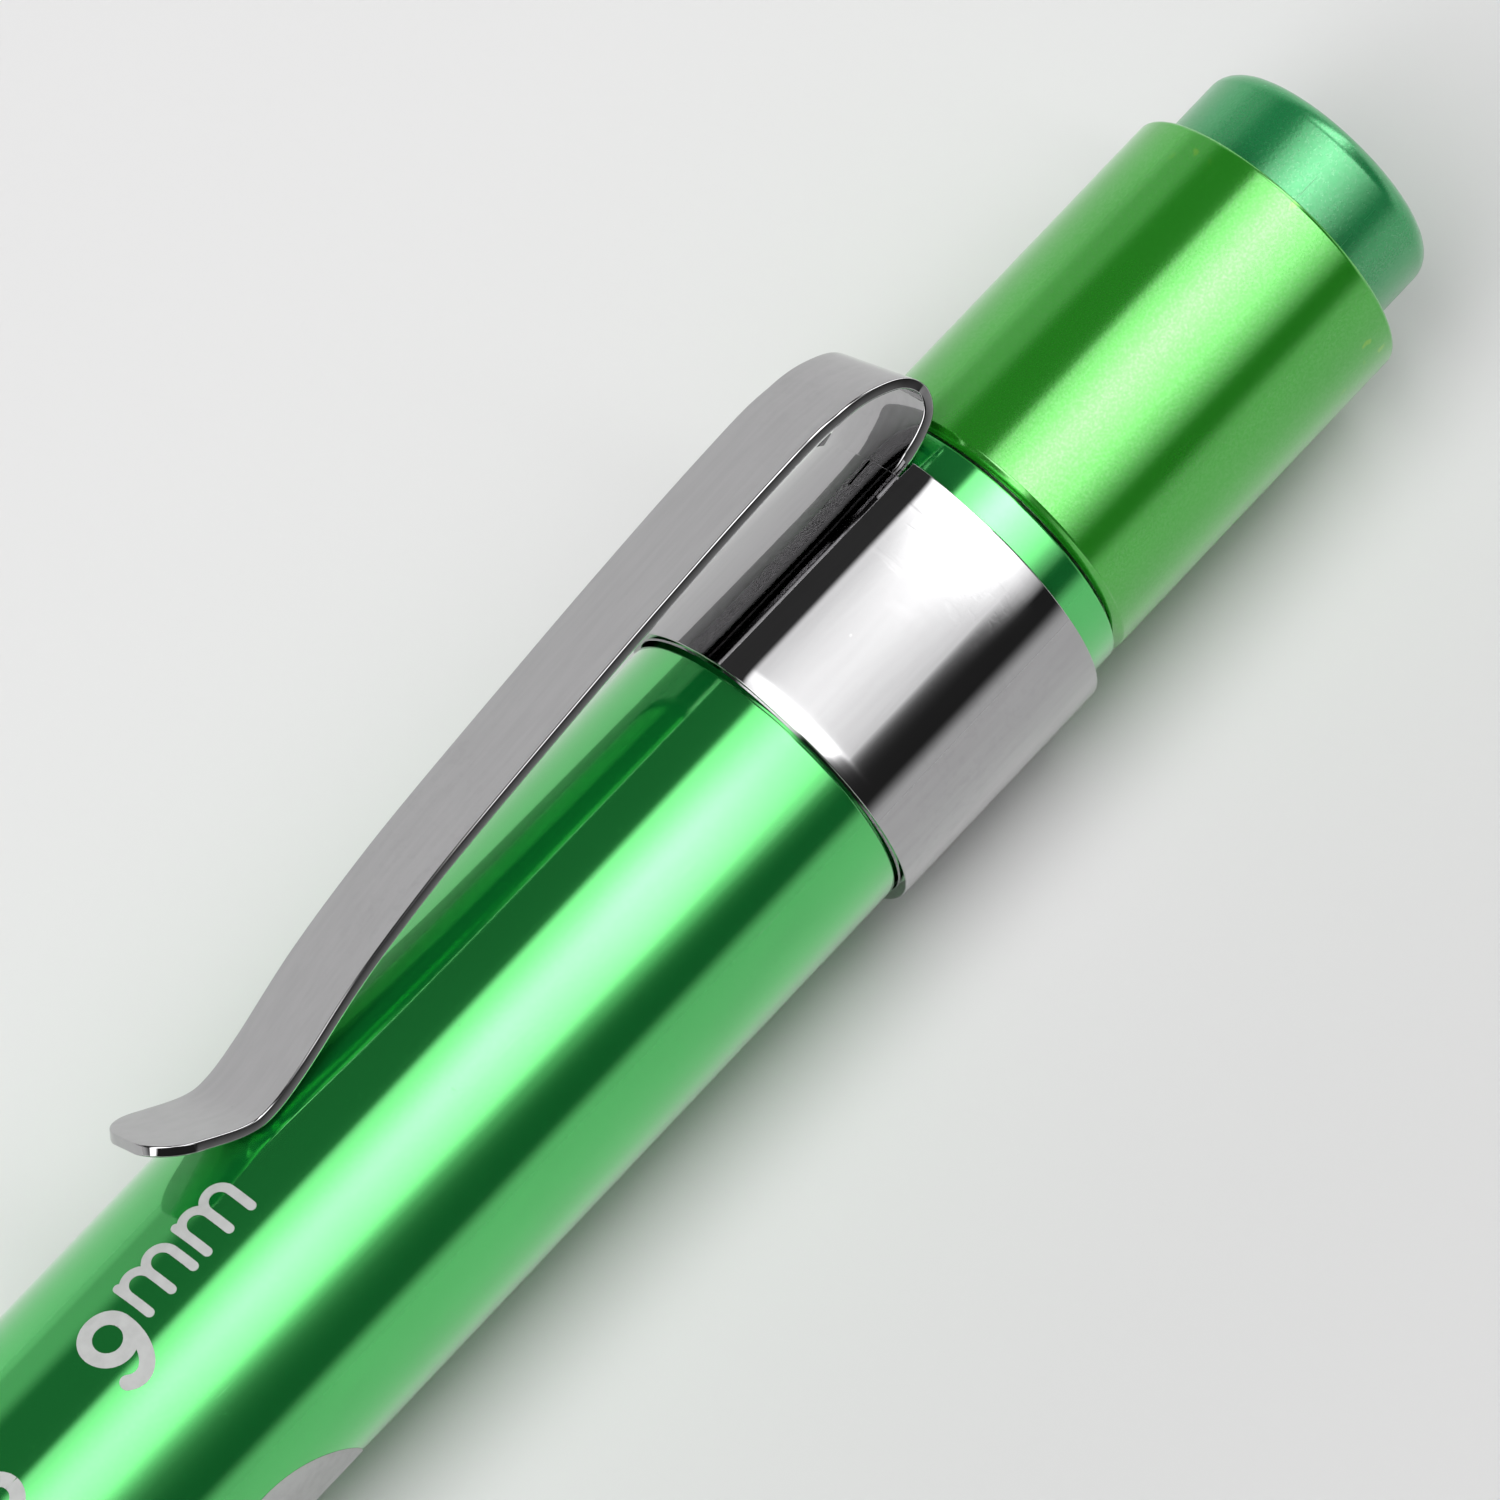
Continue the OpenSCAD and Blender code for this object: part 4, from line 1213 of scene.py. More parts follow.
    def sign(self, name: str, x: float, foot: float, height: float, stroke: float) -> Shell:
        """A number or letter from its strokes.

        Args:
            name: The sign.
            x: Its left edge.
            foot: The angle of its foot.
            height: Its height.
            stroke: Width of its strokes.

        Returns:
            Its strokes as one surface.
        """
        start = np.array([x, foot * Span.of("barrel").r])
        return joined([self.stroke_shell(start + height * path, stroke, name in SQUARE, self.layer * order)
                       for order, path in enumerate(SIGNS[name])])

    def build(self) -> None:
        """Adds the dots, the numbers and the unit after the largest number."""
        dots, numbers = [], []
        x = self.first_x
        for size in range(self.largest, self.smallest - 1, -1):
            dots.append(self.dot(x, size * MM / 2))
            left = x - self.sign_w / 2 + self.sign_shift * (size < self.largest)
            numbers.append(self.sign(str(size), left, self.sign_foot, self.sign_h, self.stroke))
            # On by half of this dot and half of the next, which is a millimetre smaller
            x -= (size - 0.5) * MM + self.gap
        letters = [self.sign("m", self.unit_x + self.unit_advance * place, self.unit_foot, self.unit_h,
                             self.unit_stroke) for place in range(2)]
        for name, shells in (("scale_dots", dots), ("scale_numbers", numbers), ("scale_unit", letters)):
            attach(add_piece(joined(shells), name, SCALE_GREY), Body.LIGHT.value)


@dataclass(frozen=True)
class Clip:
    """The pocket clip: a split band round the neck and a strip that turns back over it in a hairpin bend."""

    lean: float = math.radians(44)  # How far the clip leans from straight up
    thick: float = 0.43 * MM  # Thickness of the steel
    width: float = 4.9 * MM  # Width of the strip at the bend
    tip_width: float = 4.5 * MM  # Its width at the tip
    bend: float = 2.05 * MM  # How far the bend reaches past the band
    rise: float = 3.4 * MM  # How far the arm starts above the band
    reach: float = 33.9 * MM  # From the band's end to where the arm meets the barrel
    touch_r: float = 6.64 * MM  # Radius of the strip's middle there
    tip_len: float = 4.5 * MM  # Length of the turned-up tip
    tip_rise: float = 2.2 * MM  # How far the tip rises
    tip_round: float = 1.8 * MM  # Rounding of the tip's corners
    slit_len: float = 0.75 * MM  # Length of the slits beside the strip's root
    slit_w: float = 0.3 * MM  # Their width
    seam: float = 0.4 * MM  # Gap in the band, opposite the strip
    edge: float = 0.07 * MM  # Rounding of the strip's edges
    band_edge: float = 0.05 * MM  # Rounding of the band's edges
    roll: float = 0.006 * MM  # How far the band's ends draw in
    roll_len: float = 0.8 * MM  # Over what length they do so
    root_lift: float = 0.34 * MM  # How far the band stands off beside the strip's root, where it runs flatter
    # Angles from the strip between which that lift fades
    root_span: Stretch = (math.radians(22), math.radians(54))
    seam_lift: float = 0.28 * MM  # How far the band springs open at its seam
    # Angles from the strip between which it does so
    seam_span: Stretch = (math.radians(74), math.radians(150))
    # Where the strip leaves the light: along the axis, and out from it
    blend_from: Stretch = (106.6 * MM, 7.15 * MM)
    blend_to: Stretch = (105.89 * MM, 9.97 * MM)  # A place further along the strip, at the start of its free arm
    proud: float = 0.15 * MM  # How far the band stands out beyond the barrel
    # Stations of the bend, the arm and the tip, as shares of each one's length and rise
    bend_shares: ClassVar[tuple[Stretch, ...]] = (
        (0.05, 0.05), (0.46, 0.125), (0.78, 0.22), (0.95, 0.35), (1, 0.5), (0.86, 0.66), (0.63, 0.77),
        (0.24, 0.875), (-0.12, 0.935), (-0.49, 0.965), (-1.27, 1))
    arm_shares: ClassVar[tuple[Stretch, ...]] = (
        (0.12, 0.97), (0.24, 0.91), (0.36, 0.835), (0.6, 0.655), (0.72, 0.525), (0.83, 0.35), (0.94, 0.09),
        (1, 0))
    tip_shares: ClassVar[tuple[Stretch, ...]] = ((0.26, 0.09), (0.62, 0.5), (1, 1))
    # Places counted in stations: where the strip starts, where its slits end, where it has its full
    # thickness, and the bend's outermost point
    start_at: ClassVar[float] = 0.5
    slit_at: ClassVar[float] = 1.0
    full_at: ClassVar[float] = 2.0
    apex_at: ClassVar[float] = 6.0
    # Share of the thickness that the strip starts with, and of half of it that a rounded edge may take
    root_share: ClassVar[float] = 0.7
    edge_room: ClassVar[float] = 0.98
    # Points in a corner and on a flat of the strip's section, and steps between stations and at the tip
    corner_points: ClassVar[int] = 5
    flat_points: ClassVar[int] = 11
    station_steps: ClassVar[int] = 24
    tip_steps: ClassVar[int] = 60
    # The same for the band's section, places round the band, and the angle over which a slit's side runs
    band_corner_points: ClassVar[int] = 6
    band_flat_points: ClassVar[int] = 39
    band_places: ClassVar[int] = 360
    sliver: ClassVar[float] = 1e-5

    def band_r(self) -> float:
        """Outer radius of the band."""
        return Span.of("barrel").r + self.proud

    def stations(self) -> Array:
        """Points of the strip's middle line: along the axis, and out from it.

        Returns:
            One row for each point, from the root over the bend and along the arm to the tip.
        """
        mid = self.band_r() - self.thick / 2
        band_end = Span.of("retaining_collar").x0
        arm_x0 = band_end + self.bend_shares[-1][0] * self.bend
        arm_x1 = band_end - self.reach
        arm_rise = mid + self.rise - self.touch_r
        root = [(band_end - 2 * self.slit_len, mid), (band_end - self.slit_len, mid)]
        bend = [(band_end + x * self.bend, mid + h * self.rise) for x, h in self.bend_shares]
        arm = [(arm_x0 + x * (arm_x1 - arm_x0), self.touch_r + h * arm_rise) for x, h in self.arm_shares]
        tip = [(arm_x1 - x * self.tip_len, self.touch_r + h * self.tip_rise) for x, h in self.tip_shares]
        return np.array(root + bend + arm + tip)

    def line(self, t: Array) -> tuple[Array, Array]:
        """The middle line: a cubic between two stations whose slopes come from the stations on either side.

        Args:
            t: Places on the line, counted in stations.

        Returns:
            The points there, and the directions of length 1.
        """
        stations = self.stations()
        last = len(stations) - 1
        i = np.minimum(np.floor(t).astype(int), last - 1)
        f = (t - i)[:, None]
        a, b, c, d = (stations[np.clip(i + k, 0, last)] for k in (-1, 0, 1, 2))
        first, second, third = c - a, 2 * a - 5 * b + 4 * c - d, 3 * (b - c) + d - a
        return b + f / 2 * (first + f * (second + f * third)), unit(first + f * (2 * second + 3 * f * third))

    def leaned(self, x: Array, side: Array, out: Array) -> Array:
        """Places of an upright clip turned by its lean: sideways and outwards become Y and Z."""
        s, c = math.sin(self.lean), math.cos(self.lean)
        return np.stack([x, c * side + s * out, c * out - s * side], axis=-1)

    def section(self, half_w: Array, half_t: Array) -> tuple[Array, Array]:
        """A rounded rectangle for each place on the strip, run from its right edge over its top.

        Args:
            half_w: Half the width at each place.
            half_t: Half the thickness at each place.

        Returns:
            Places across the strip and up from its middle, by row and column.
        """
        quarter = np.linspace(0, math.pi / 2, self.corner_points)
        rise, run = np.sin(quarter), np.cos(quarter)
        flat = np.linspace(1, -1, self.flat_points + 2)[1:-1]
        corner, level = np.ones(self.corner_points), np.zeros(self.flat_points)
        top = np.ones(2 * self.corner_points + self.flat_points)
        across_share = np.concatenate([corner, flat, -corner, -corner, -flat, corner])
        up_share = np.concatenate([top, -top])
        turn_x = np.concatenate([run, level, -rise, -run, level, rise])
        turn_y = np.concatenate([rise, level + 1, run, -rise, level - 1, -run])
        e = np.minimum(self.edge, self.edge_room * half_t)[:, None]
        across = across_share * (half_w[:, None] - e) + e * turn_x
        return across, up_share * (half_t[:, None] - e) + e * turn_y

    def strip(self) -> Shell:
        """The strip: a rounded rectangle carried along the middle line.

        It leaves the band curled to the band's radius, so that a place w across it sits at R sin(w/R), and
        dropped by R(1 - cos(w/R)), and comes flat by the bend's outermost point.

        Returns:
            The closed surface.
        """
        last = len(self.stations()) - 1
        ease = np.sin(np.linspace(0, math.pi / 2, self.tip_steps))
        before = np.linspace(self.start_at, last - 1, self.station_steps * last)[:-1]
        t = np.concatenate([before, last - 1 + ease])
        middle, ahead = self.line(t)
        left = np.linalg.norm(middle - middle[-1], axis=1)
        past = np.maximum(0, t - self.apex_at) / (last - self.apex_at)
        wide = self.width + (self.tip_width - self.width) * past
        cut = self.tip_round - np.minimum(left, self.tip_round)
        soft = self.edge - np.sqrt(self.edge ** 2 - (self.edge - np.minimum(left, self.edge)) ** 2)
        half_w = wide / 2 - self.tip_round + np.sqrt(self.tip_round ** 2 - cut ** 2) - soft
        grown = np.clip((t - self.slit_at) / (self.full_at - self.slit_at), 0, 1)
        share = self.root_share + (1 - self.root_share) * grown
        curl = np.clip((self.apex_at - t) / (self.apex_at - self.slit_at), 0, 1)[:, None]
        across, up = self.section(half_w, self.thick / 2 * share - soft)
        mid_r = self.band_r() - self.thick / 2
        drop = curl * mid_r * (1 - np.cos(across / mid_r)) - self.root_lift * curl ** 2
        side = across + curl * (mid_r * np.sin(across / mid_r) - across)
        x = middle[:, :1] - ahead[:, 1:] * (up - drop)
        out = middle[:, 1:] + ahead[:, :1] * (up - drop)
        grid = self.leaned(x, side, out)
        return skin(grid, surface_normals(grid, False), False)

    def band(self) -> Shell:
        """The band: a rounded section carried round the neck from one side of its seam to the other.

        Its end is cut back beside the strip's root. Its outside draws in towards both ends with the square of
        the way into the last stretch. It stands off the neck beside the root and at the seam, by a cubic step
        of the angle.

        Returns:
            The closed surface.
        """
        r1 = self.band_r()
        r0 = r1 - self.thick
        x0, x1 = Span.of("clip_band").x0, Span.of("retaining_collar").x0
        half_gap = self.seam / 2 / r1
        notch = (self.width / 2 + self.slit_w) / r1
        sides = [-notch - self.sliver, -notch, notch, notch + self.sliver]
        places = np.linspace(-math.pi + half_gap, math.pi - half_gap, self.band_places)
        turn = np.unique(np.concatenate([places, sides]))
        end = x1 - self.slit_len * (np.abs(turn) <= notch)
        e, n = self.band_edge, self.band_corner_points
        quarter = np.linspace(0, math.pi / 2, n)
        rise, run = np.sin(quarter), np.cos(quarter)
        flat = np.linspace(0, 1, self.band_flat_points + 2)[1:-1]
        level = np.zeros(len(flat))
        share = np.concatenate([np.zeros(n), flat, np.ones(2 * n), [0.5], np.zeros(n)])
        off = e * np.concatenate([1 - run, level, rise - 1, run - 1, [0], 1 - rise[::-1]])
        high = np.concatenate([r1 - e + e * rise, level + r1, r1 - e + e * run, r0 + e - e * rise, [r0],
                               r0 + e - e * run[::-1]])
        x = x0 + share * (end[:, None] - x0) + off
        into = np.clip(1 - np.minimum(x - x0, x1 - x) / self.roll_len, 0, 1)
        outside = high > (r0 + r1) / 2
        lift = self.root_lift * (1 - smooth(*self.root_span, np.abs(turn)))
        lift = lift + self.seam_lift * smooth(*self.seam_span, np.abs(turn))
        r = high - self.roll * into ** 2 * outside + lift[:, None]
        angle = turn[:, None]
        grid = self.leaned(x, r * np.sin(angle), r * np.cos(angle))
        return skin(grid, surface_normals(grid, False), False)

    def build(self) -> None:
        """Adds the band on the light, and the strip."""
        band = add_piece(self.band(), "clip_ring", CLIP_STEEL, "clip_band")
        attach(band, Body.LIGHT.value)
        strip = add_piece(self.strip(), "clip_strip", CLIP_STEEL, "clip_arm")
        x, out = np.transpose([self.blend_from, self.blend_to])
        start, end = self.leaned(x, np.zeros(2), out)
        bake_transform(strip)


@dataclass(frozen=True)
class Tail:
    """The tail cap with its insert and seal."""

    spigot: Spigot = Spigot()  # The insert's screwed end
    bore_r: float = 5.85 * MM  # Radius of the cap's bore
    rim_r: float = 5.6 * MM  # Radius of the hole that the button comes through
    rim_round: float = 0.1 * MM  # Rounding of that hole's edge
    rim_back: float = 2.0 * MM  # How far the rim's inner face lies before the switch housing's end
    front_chamfer: float = 0.3 * MM  # Chamfer of the cap's front edge
    front_round: float = 0.12 * MM  # Rounding of that chamfer's edge
    rear_round: float = 0.18 * MM  # Rounding of the cap's rear edge
    body_x0: float = 107.0 * MM  # Where the insert's wide body starts
    thread_inset: float = 0.1 * MM  # How far the thread stays from the ends of its stretch

    def cap(self) -> Outline:
        """The cap: a tube with a rim round the button.

        Returns:
            Its half section.
        """
        cap = Span.of("tail_cap")
        rim_x0 = Span.of("switch_housing").x1 - self.rim_back
        return rounded(
            Corner(cap.x0, self.bore_r), Corner(cap.x0, cap.r - self.front_chamfer),
            Corner(cap.x0 + self.front_chamfer, cap.r, self.front_round),
            Corner(cap.x1, cap.r, self.rear_round), Corner(cap.x1, self.rim_r, self.rim_round),
            Corner(rim_x0, self.rim_r), Corner(rim_x0, self.bore_r))

    def insert(self) -> Outline:
        """The insert: a threaded spigot with an O-ring groove, and a wide body that sits in the cap.

        Returns:
            Its half section.
        """
        insert, end = Span.of("threaded_insert"), self.spigot
        return rounded(
            Corner(insert.x0, end.bore_r), Corner(insert.x0, end.root_r),
            Corner(insert.x0 + end.lead_in, end.crest_r), *end.groove(Span.of("tail_o_ring")),
            Corner(self.body_x0, end.crest_r), Corner(self.body_x0, insert.r), Corner(insert.x1, insert.r),
            Corner(insert.x1, end.bore_r))

    def build(self) -> None:
        """Adds the cap, the threaded insert and the seal."""
        insert, seal = Span.of("threaded_insert"), Span.of("tail_o_ring")
        thread = Thread(insert.x0 + self.thread_inset, seal.x0 - self.thread_inset, self.spigot.crest_r)
        Turned("tail_casing", "tail_cap", TAIL_GREEN, self.cap(), Body.TAIL).add()
        Turned("tail_screw", "threaded_insert", INSERT_METAL, self.insert(), Body.TAIL, thread).add()
        Turned("tail_seal_ring", "tail_o_ring", BLACK_RUBBER, ring(seal), Body.SEAL).add()


@dataclass(frozen=True)
class Switch:
    """The push button with its plunger, and the contacts and springs of the switch."""

    button_round: float = 0.85 * MM  # Rounding of the button's edge
    mouth_round: float = 0.1 * MM  # Rounding of the edge of its open end
    floor_round: float = 0.3 * MM  # Rounding inside it, where its wall meets its end
    button_wall: float = 0.9 * MM  # Wall of the button
    button_end: float = 1.0 * MM  # Thickness of its end
    socket_r: float = 2.53 * MM  # Outer radius of the socket inside it
    hole_r: float = 1.63 * MM  # Radius of the socket's hole
    socket_len: float = 4.2 * MM  # Length of the socket
    nose_r: float = 1.1 * MM  # Radius of the plunger's nose
    flange_x0: float = 111.7 * MM  # Where the plunger's flange starts
    flange_x1: float = 112.7 * MM  # Where it ends
    stem_r: float = 1.6 * MM  # Radius of the plunger's stem
    flange_round: float = 0.12 * MM  # Rounding of the flange's edges
    stem_round: float = 0.2 * MM  # Rounding of the stem's end
    lift_y: float = 0.3 * MM  # How far the button sits from the light's axis
    return_turns: int = 5  # Turns of the return spring
    return_wire_r: float = 0.2 * MM  # Radius of its wire
    contact_turns: int = 4  # Turns of the contact spring
    contact_wire_r: float = 0.3 * MM  # Radius of its wire
    contact_narrow_r: float = 2.2 * MM  # Radius of its narrow end
    press: float = 2.0 * MM  # How far the button travels

    def button(self) -> Outline:
        """The button: a cup with a rounded rim and a socket for the plunger inside.

        Returns:
            Its half section.
        """
        cap = Span.of("push_button")
        floor, inner_r = cap.x1 - self.button_end, cap.r - self.button_wall
        return rounded(
            Corner(cap.x1, 0.0), Corner(cap.x1, cap.r, self.button_round),
            Corner(cap.x0, cap.r, self.mouth_round), Corner(cap.x0, inner_r),
            Corner(floor, inner_r, self.floor_round), Corner(floor, self.socket_r),
            Corner(floor - self.socket_len, self.socket_r), Corner(floor - self.socket_len, self.hole_r),
            Corner(floor, self.hole_r), Corner(floor, 0.0))

    def plunger(self) -> Outline:
        """The plunger: nose, flange and stem.

        Returns:
            Its half section.
        """
        rod = Span.of("plunger")
        return rounded(
            Corner(rod.x0, 0.0), Corner(rod.x0, self.nose_r), Corner(self.flange_x0, self.nose_r),
            Corner(self.flange_x0, rod.r, self.flange_round),
            Corner(self.flange_x1, rod.r, self.flange_round),
            Corner(self.flange_x1, self.stem_r), Corner(rod.x1, self.stem_r, self.stem_round),
            Corner(rod.x1, 0.0))

    def build(self) -> None:
        """Adds the button, the plunger and both springs, and dresses the switch's other pieces."""
        for name, node, finish, outline in (("button_cap", "push_button", BUTTON_GREEN, self.button()),
                                            ("switch_plunger", "plunger", HOLDER_PLASTIC, self.plunger())):
            Turned(name, node, finish, outline, Body.BUTTON, side_y=self.lift_y).add()
        spring, contact = Span.of("return_spring"), Span.of("contact_spring")
        back = Coil(spring.x0, spring.x1, spring.r, spring.r, self.return_wire_r, self.return_turns)
        cone = Coil(contact.x0, contact.x1, self.contact_narrow_r, contact.r, self.contact_wire_r,
                    self.contact_turns)
        piece = add_piece(back.shell(), "button_return_spring", SPRING_STEEL, "return_spring")
        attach(piece, Body.TAIL.value)
        keep = 1 - self.press / (spring.x1 - spring.x0)
        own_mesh(piece)
        piece = add_piece(cone.shell(), "cell_contact_spring", SPRING_STEEL, "contact_spring")
        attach(piece, Body.TAIL.value)
        dress(BLACK_PLASTIC, "switch_housing")
        dress(CONTACT_BRASS, "contact_plate", "contact_rivet", "ground_washer", "moving_contact")


@dataclass(frozen=True)
class PowerCells:
    """The two cells."""

    crimp: float = 0.7 * MM  # Width of the rolled shoulder
    crimp_round: float = 0.12 * MM  # Rounding of the shoulder's inner edge
    shoulder_round: float = 0.3 * MM  # Rounding of its outer edge
    base_round: float = 0.35 * MM  # Rounding of the can's other end
    seal_depth: float = 0.5 * MM  # Depth of the seal in the can
    post_round: float = 0.3 * MM  # Rounding of the positive terminal's end

    def build(self) -> None:
        """Adds each cell's can and terminal, and dresses its seal."""
        for place in ("front", "rear"):
            can, post = Span.of(f"{place}_cell_can"), Span.of(f"{place}_cell_terminal")
            seal_x, inner_r = can.x0 + self.seal_depth, can.r - self.crimp
            sleeve = Sleeve("cell_label", can.x0, can.x1 - can.x0)
            body = rounded(
                Corner(seal_x, 0.0), Corner(seal_x, inner_r), Corner(can.x0, inner_r, self.crimp_round),
                Corner(can.x0, can.r, self.shoulder_round), Corner(can.x1, can.r, self.base_round),
                Corner(can.x1, 0.0))
            cap = rounded(Corner(post.x0, 0.0), Corner(post.x0, post.r, self.post_round),
                          Corner(post.x1, post.r), Corner(post.x1, 0.0))
            Turned(f"{place}_cell_sleeve", f"{place}_cell_can", sleeve, body).add()
            Turned(f"{place}_cell_cap", f"{place}_cell_terminal", CELL_NICKEL, cap).add()
            dress(BLACK_PLASTIC, f"{place}_cell_seal")


@dataclass(frozen=True)
class Panel:
    """The long soft panel overhead, by direction: x along the light, and degrees across from straight up."""

    bright: float = 3.4  # Brightness of its middle at its head end
    gain: float = 2.6  # How much brighter it is at its tail end
    gain_x: Stretch = (0.19, 0.285)  # Stretch of x over which it gets brighter
    head_end: Stretch = (0.1, 0.17)  # Stretch over which it comes up at its head end
    tail_end: Stretch = (0.34, 0.42)  # Stretch over which it goes out at its tail end
    band_start: Stretch = (0.2495, 0.2525)  # Stretch over which the part that the steel band mirrors starts
    band_end: Stretch = (0.2705, 0.2735)  # Stretch over which that part ends
    band_share: float = 0.32  # Share of the brightness in that part
    head_x: float = 0.195  # Where the slant of its edges is counted from
    near: float = 33.5  # How far its near edge lies to the near side there
    near_slope: float = 217.0  # How fast that edge goes further along x
    near_hold: float = 0.055  # How far along x it does so
    near_step: Stretch = (0.2465, 0.2505)  # Stretch over which it steps further before the band's part
    near_steps: Stretch = (6.6, 12.4)  # How far it steps there, and behind the band's part
    fade_from: float = 4.5  # How far inside the near edge the fade starts
    # How steep the fade is, what x adds to that, and what the band's part adds
    fade: Triple = (0.14, 1.75, 0.1)
    far: Stretch = (15.7, 21.7)  # Degrees over which its far edge fades
    far_slope: float = 45.0  # How fast that edge goes further along x
    middle: float = -9.0  # Degrees at which it is brightest
    # How fast it dims towards the near side, what fall_x adds to that, and what the band's part takes
    fall: Triple = (0.0145, 0.004, 0.009)
    fall_x: Stretch = (0.24, 0.27)  # Stretch over which that fall gets steeper
    dim_to: float = 19.0  # Degrees at which it is dimmest towards the far side
    dim: Stretch = (0.56, 0.28)  # How much it dims there, and how much less in the band's part

    def brightness(self, recipe: Recipe, x: Value, across: Value) -> Value:
        """The panel's brightness: its near edge fades as an exponential, its other edges as smooth steps.

        Args:
            recipe: The world's nodes.
            x: The direction's part along the light.
            across: Its angle across the light, in degrees from straight up.

        Returns:
            The brightness in that direction.
        """
        from_head = x - self.head_x
        behind = recipe.step(x, *self.band_end)
        on_band = recipe.step(x, *self.band_start) * (1 - behind)
        drop = recipe.step(x, *self.near_step) * self.near_steps[0] + behind * self.near_steps[1]
        near = recipe.maths("MINIMUM", from_head, self.near_hold) * -self.near_slope - drop - self.near
        steep = from_head * self.fade[1] + on_band * self.fade[2] + self.fade[0]
        fade = recipe.maths("EXPONENT", (across - near - self.fade_from) * steep)
        near_edge = recipe.maths("MINIMUM", fade, 1.0)
        far_edge = 1 - recipe.step(across - from_head * self.far_slope, *self.far)
        steep = recipe.step(x, *self.fall_x) * self.fall[1] + on_band * -self.fall[2] + self.fall[0]
        fall = recipe.maths("MAXIMUM", self.middle - across, 0.0) * steep
        dim = recipe.step(across, self.middle, self.dim_to) * (on_band * -self.dim[1] + self.dim[0])
        glow = recipe.maths("MAXIMUM", 1 - fall, 0.0) * (1 - dim)
        ends = recipe.step(x, *self.head_end) * (1 - recipe.step(x, *self.tail_end))
        bright = recipe.step(x, *self.gain_x) * self.gain + self.bright
        return near_edge * far_edge * ends * glow * bright * (1 - on_band * (1 - self.band_share))


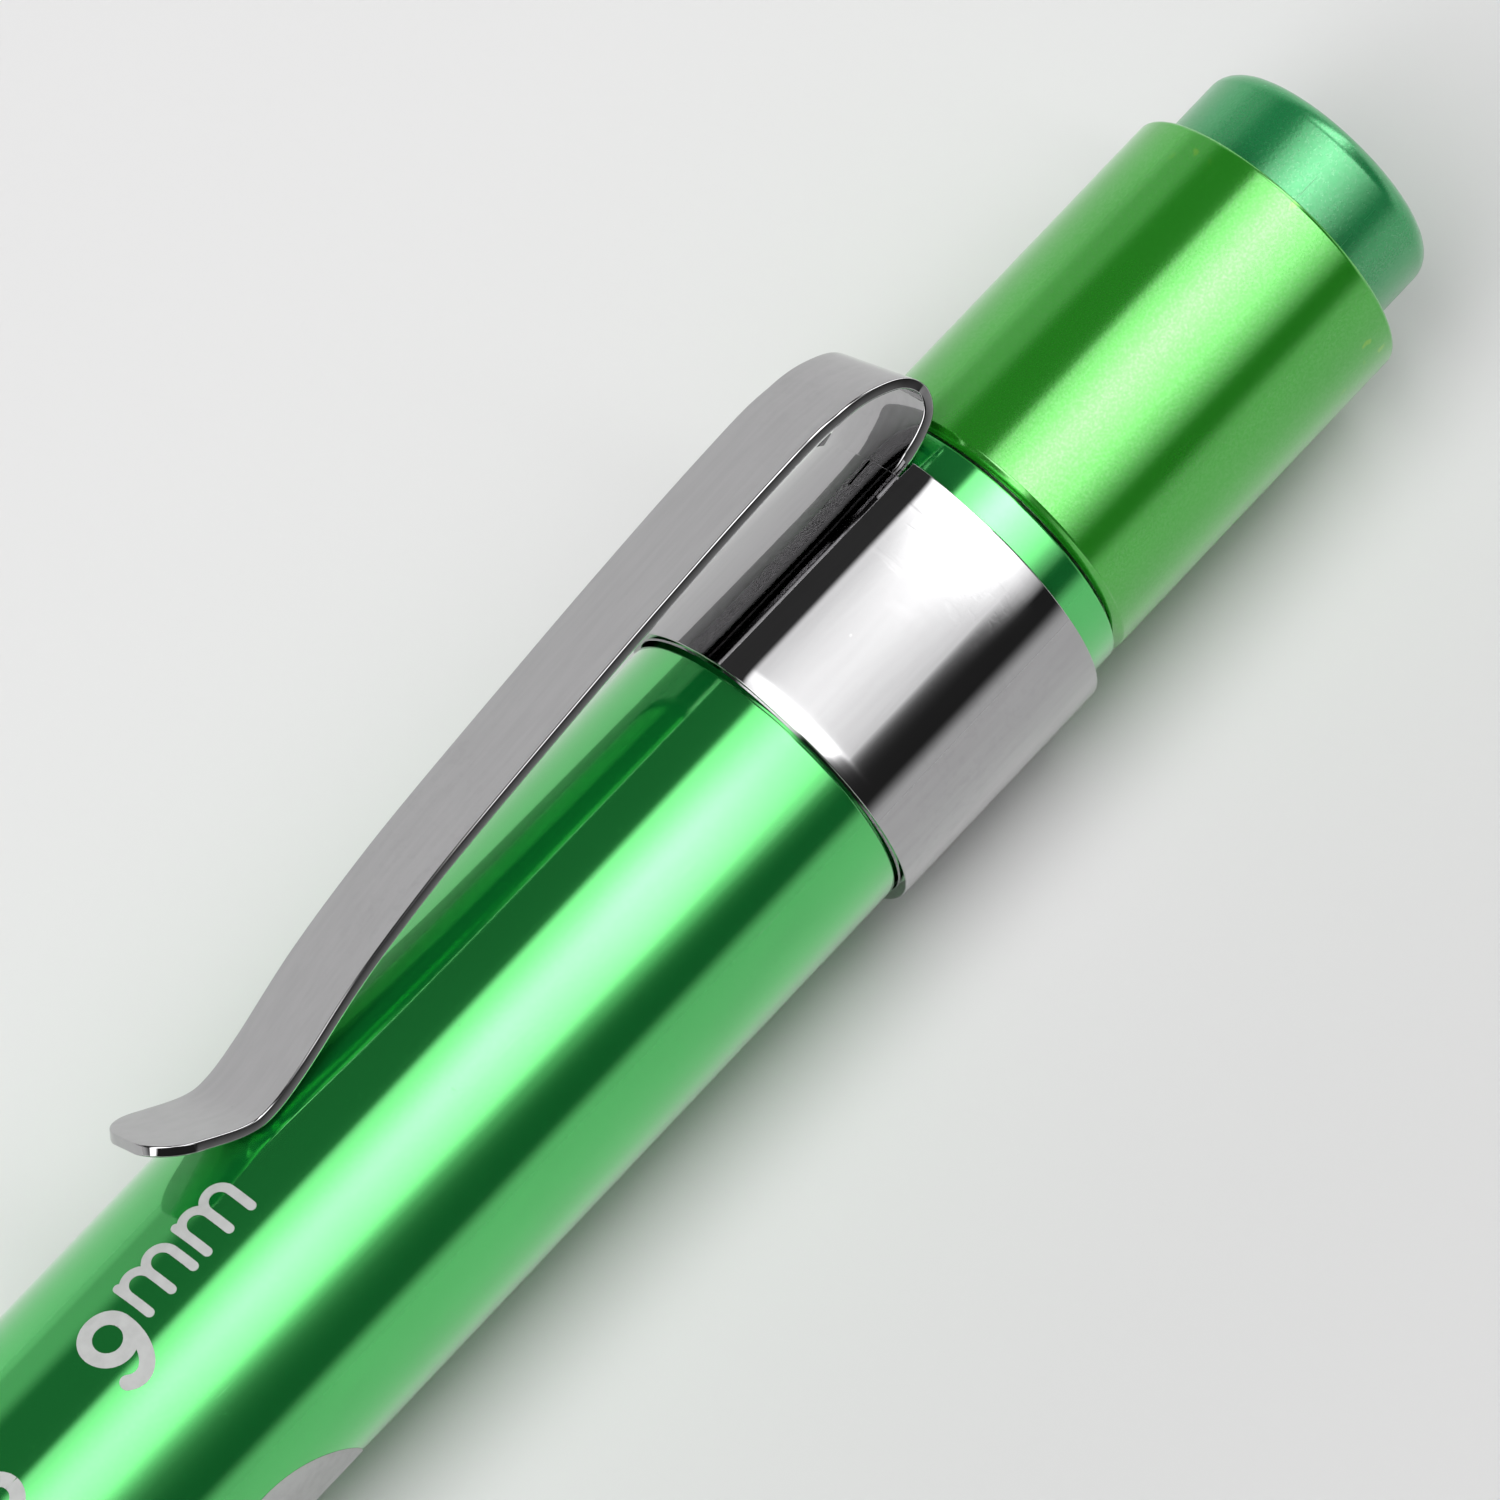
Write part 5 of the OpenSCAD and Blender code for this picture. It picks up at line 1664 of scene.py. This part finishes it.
@dataclass(frozen=True)
class Studio:
    """A pale table with painted shade towards -Y, a long soft panel overhead, and the camera."""

    panel: Panel = Panel()  # The panel overhead
    floor_r: float = 4.0  # Radius of the table
    floor_rings: int = 40  # Rings of points on it, and its middle
    floor_columns: int = 96  # Points on each ring
    pale: Colour = (0.835, 0.83, 0.832)  # Colour of the table on the +Y side, where its painted shade is lightest
    dim: Colour = (0.75, 0.747, 0.748)  # Colour on the -Y side: the table's colour darkened as painted shade, where less light falls
    painted_shade_y: Stretch = (-0.03, 0.03)  # Stretch of Y over which the painted shade turns one colour into the other
    aim: Triple = (94.47 * MM, 0.93 * MM, 0.0)  # The point that the camera looks at
    azimuth: float = math.radians(-48.17)  # Where the camera stands round the light
    elevation: float = math.radians(70.2)  # How high it stands
    distance: float = 513.3 * MM  # How far away it is
    lens: float = 336.0  # Its focal length, in millimetres
    sensor: float = 36.0  # Width of its sensor, in millimetres
    near_clip: float = 0.01  # Least distance that it sees
    key: float = 3.6  # Brightness of the two side panels, which the camera's mirror directions miss
    # Share of it at the head, and the stretch of x over which that panel ends
    head_key: Triple = (0.92, -0.15, 0.0)
    # Share of it at the tail, and the stretch of x over which that panel starts
    tail_key: Triple = (1.06, 0.5, 0.62)
    key_near: Stretch = (-19.0, -4.0)  # Degrees across the light over which both start
    key_far: Stretch = (15.0, 33.0)  # Degrees over which they end
    room: float = 0.025  # Brightness of the dark room
    room_far: Stretch = (15.0, 25.0)  # Degrees across the light over which it gets twice as bright
    wall: float = 0.4  # Brightness of the pale wall
    wall_far: Stretch = (54.0, 68.0)  # Degrees over which the wall starts
    rim: float = 0.65  # Brightness of the rim of the room, low down
    rim_z: Stretch = (0.05, 0.27)  # Stretch of the direction's height over which the rim ends

    def floor(self) -> None:
        """Adds the table: rings of points from the middle outwards, under the lowest point of the light, its
        colour painted darker towards -Y as shade.
        """
        r = self.floor_r * np.linspace(0, 1, self.floor_rings)[1:, None] ** 2
        t = circle(self.floor_columns)
        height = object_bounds()[0].z
        places = np.broadcast_arrays(self.aim[0] + r * np.cos(t), r * np.sin(t), height)
        grid = np.stack(places, axis=-1)
        index = np.arange(len(r) * len(t)).reshape(len(r), len(t))
        near, far = index[:-1], index[1:]
        quads = np.stack([near, far, np.roll(far, -1, axis=1), np.roll(near, -1, axis=1)], axis=-1)
        faces = quads.reshape(-1, 4).tolist() + [index[0].tolist()]
        mesh = bpy.data.meshes.new("table")
        mesh.from_pydata(grid.reshape(-1, 3).tolist(), [], faces)
        table = placed("table", mesh)
        material = bpy.data.materials.new("table_paper")
        material.use_nodes = True
        recipe = Recipe(material.node_tree)
        # Painted shade: the table's colour darkens towards -Y, standing in for the light falling off on that
        # side
        colour = recipe.mix(recipe.step(recipe.axis("Y"), *self.painted_shade_y), self.dim, self.pale)
        recipe.surface(Base_Color=colour, Roughness=0.75, Specular_IOR_Level=0.2,
                       Normal=recipe.bump(recipe.noise(1500.0, 3.0), 0.004 * MM, 0.3))
        mesh.materials.append(material)
        table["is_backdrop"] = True

    def light(self) -> None:
        """Sets the world: a soft panel along the light, a dark room, and a pale wall and rim low down."""
        world = bpy.data.worlds.new("studio")
        world.use_nodes = True
        bpy.context.scene.world = world
        recipe = Recipe(world.node_tree)
        way = recipe.node("ShaderNodeTexCoord").output("Generated")
        parts = recipe.node("ShaderNodeSeparateXYZ", {}, {0: way})
        x, y, z = (parts.output(name) for name in "XYZ")
        across = recipe.maths("ARCTAN2", y, z) * math.degrees(1)
        head, tail = 1 - recipe.step(x, *self.head_key[1:]), recipe.step(x, *self.tail_key[1:])
        sides = head * self.head_key[0] + tail * self.tail_key[0]
        key = recipe.step(across, *self.key_near) * (1 - recipe.step(across, *self.key_far)) * sides
        wall = recipe.step(across, *self.wall_far) * self.wall
        wall = wall + recipe.step(across, *self.room_far) * self.room
        low = recipe.maths("MAXIMUM", wall, (1 - recipe.step(z, *self.rim_z)) * self.rim)
        panel = self.panel.brightness(recipe, x, across)
        background = recipe.node("ShaderNodeBackground", {}, {
            "Color": (1.0, 1.0, 1.0, 1.0), "Strength": panel + key * self.key + low + self.room})
        recipe.node("ShaderNodeOutputWorld", {}, {"Surface": background})

    def camera(self) -> None:
        """Sets the camera: it stands off from its aim along the azimuth and elevation, and is held level."""
        back = Vector((math.sin(self.azimuth) * math.cos(self.elevation),
                       -math.cos(self.azimuth) * math.cos(self.elevation), math.sin(self.elevation)))
        right = Vector((math.cos(self.azimuth), math.sin(self.azimuth), 0.0))
        turn = Matrix((right, back.cross(right), back)).transposed().to_4x4()
        data = bpy.data.cameras.new("camera")
        data.sensor_width = self.sensor
        data.lens = self.lens
        data.clip_start = self.near_clip
        camera = placed("camera", data)
        camera.matrix_world = Matrix.Translation(Vector(self.aim) + back * self.distance) @ turn
        bpy.context.scene.camera = camera

    def build(self) -> None:
        """Adds the table, the light and the camera, and leaves colours as they are written."""
        self.floor()
        self.light()
        self.camera()
        bpy.context.scene.view_settings.view_transform = "Standard"


def main() -> None:
    """Builds the sub-assemblies and the studio."""
    logging.basicConfig(level=logging.INFO, format="%(name)s: %(message)s")
    for assembly in (Head(), Barrel(), PupilScale(), Clip(), Tail(), Switch(), PowerCells(), Studio()):
        assembly.build()


if __name__ == "__main__":
    main()
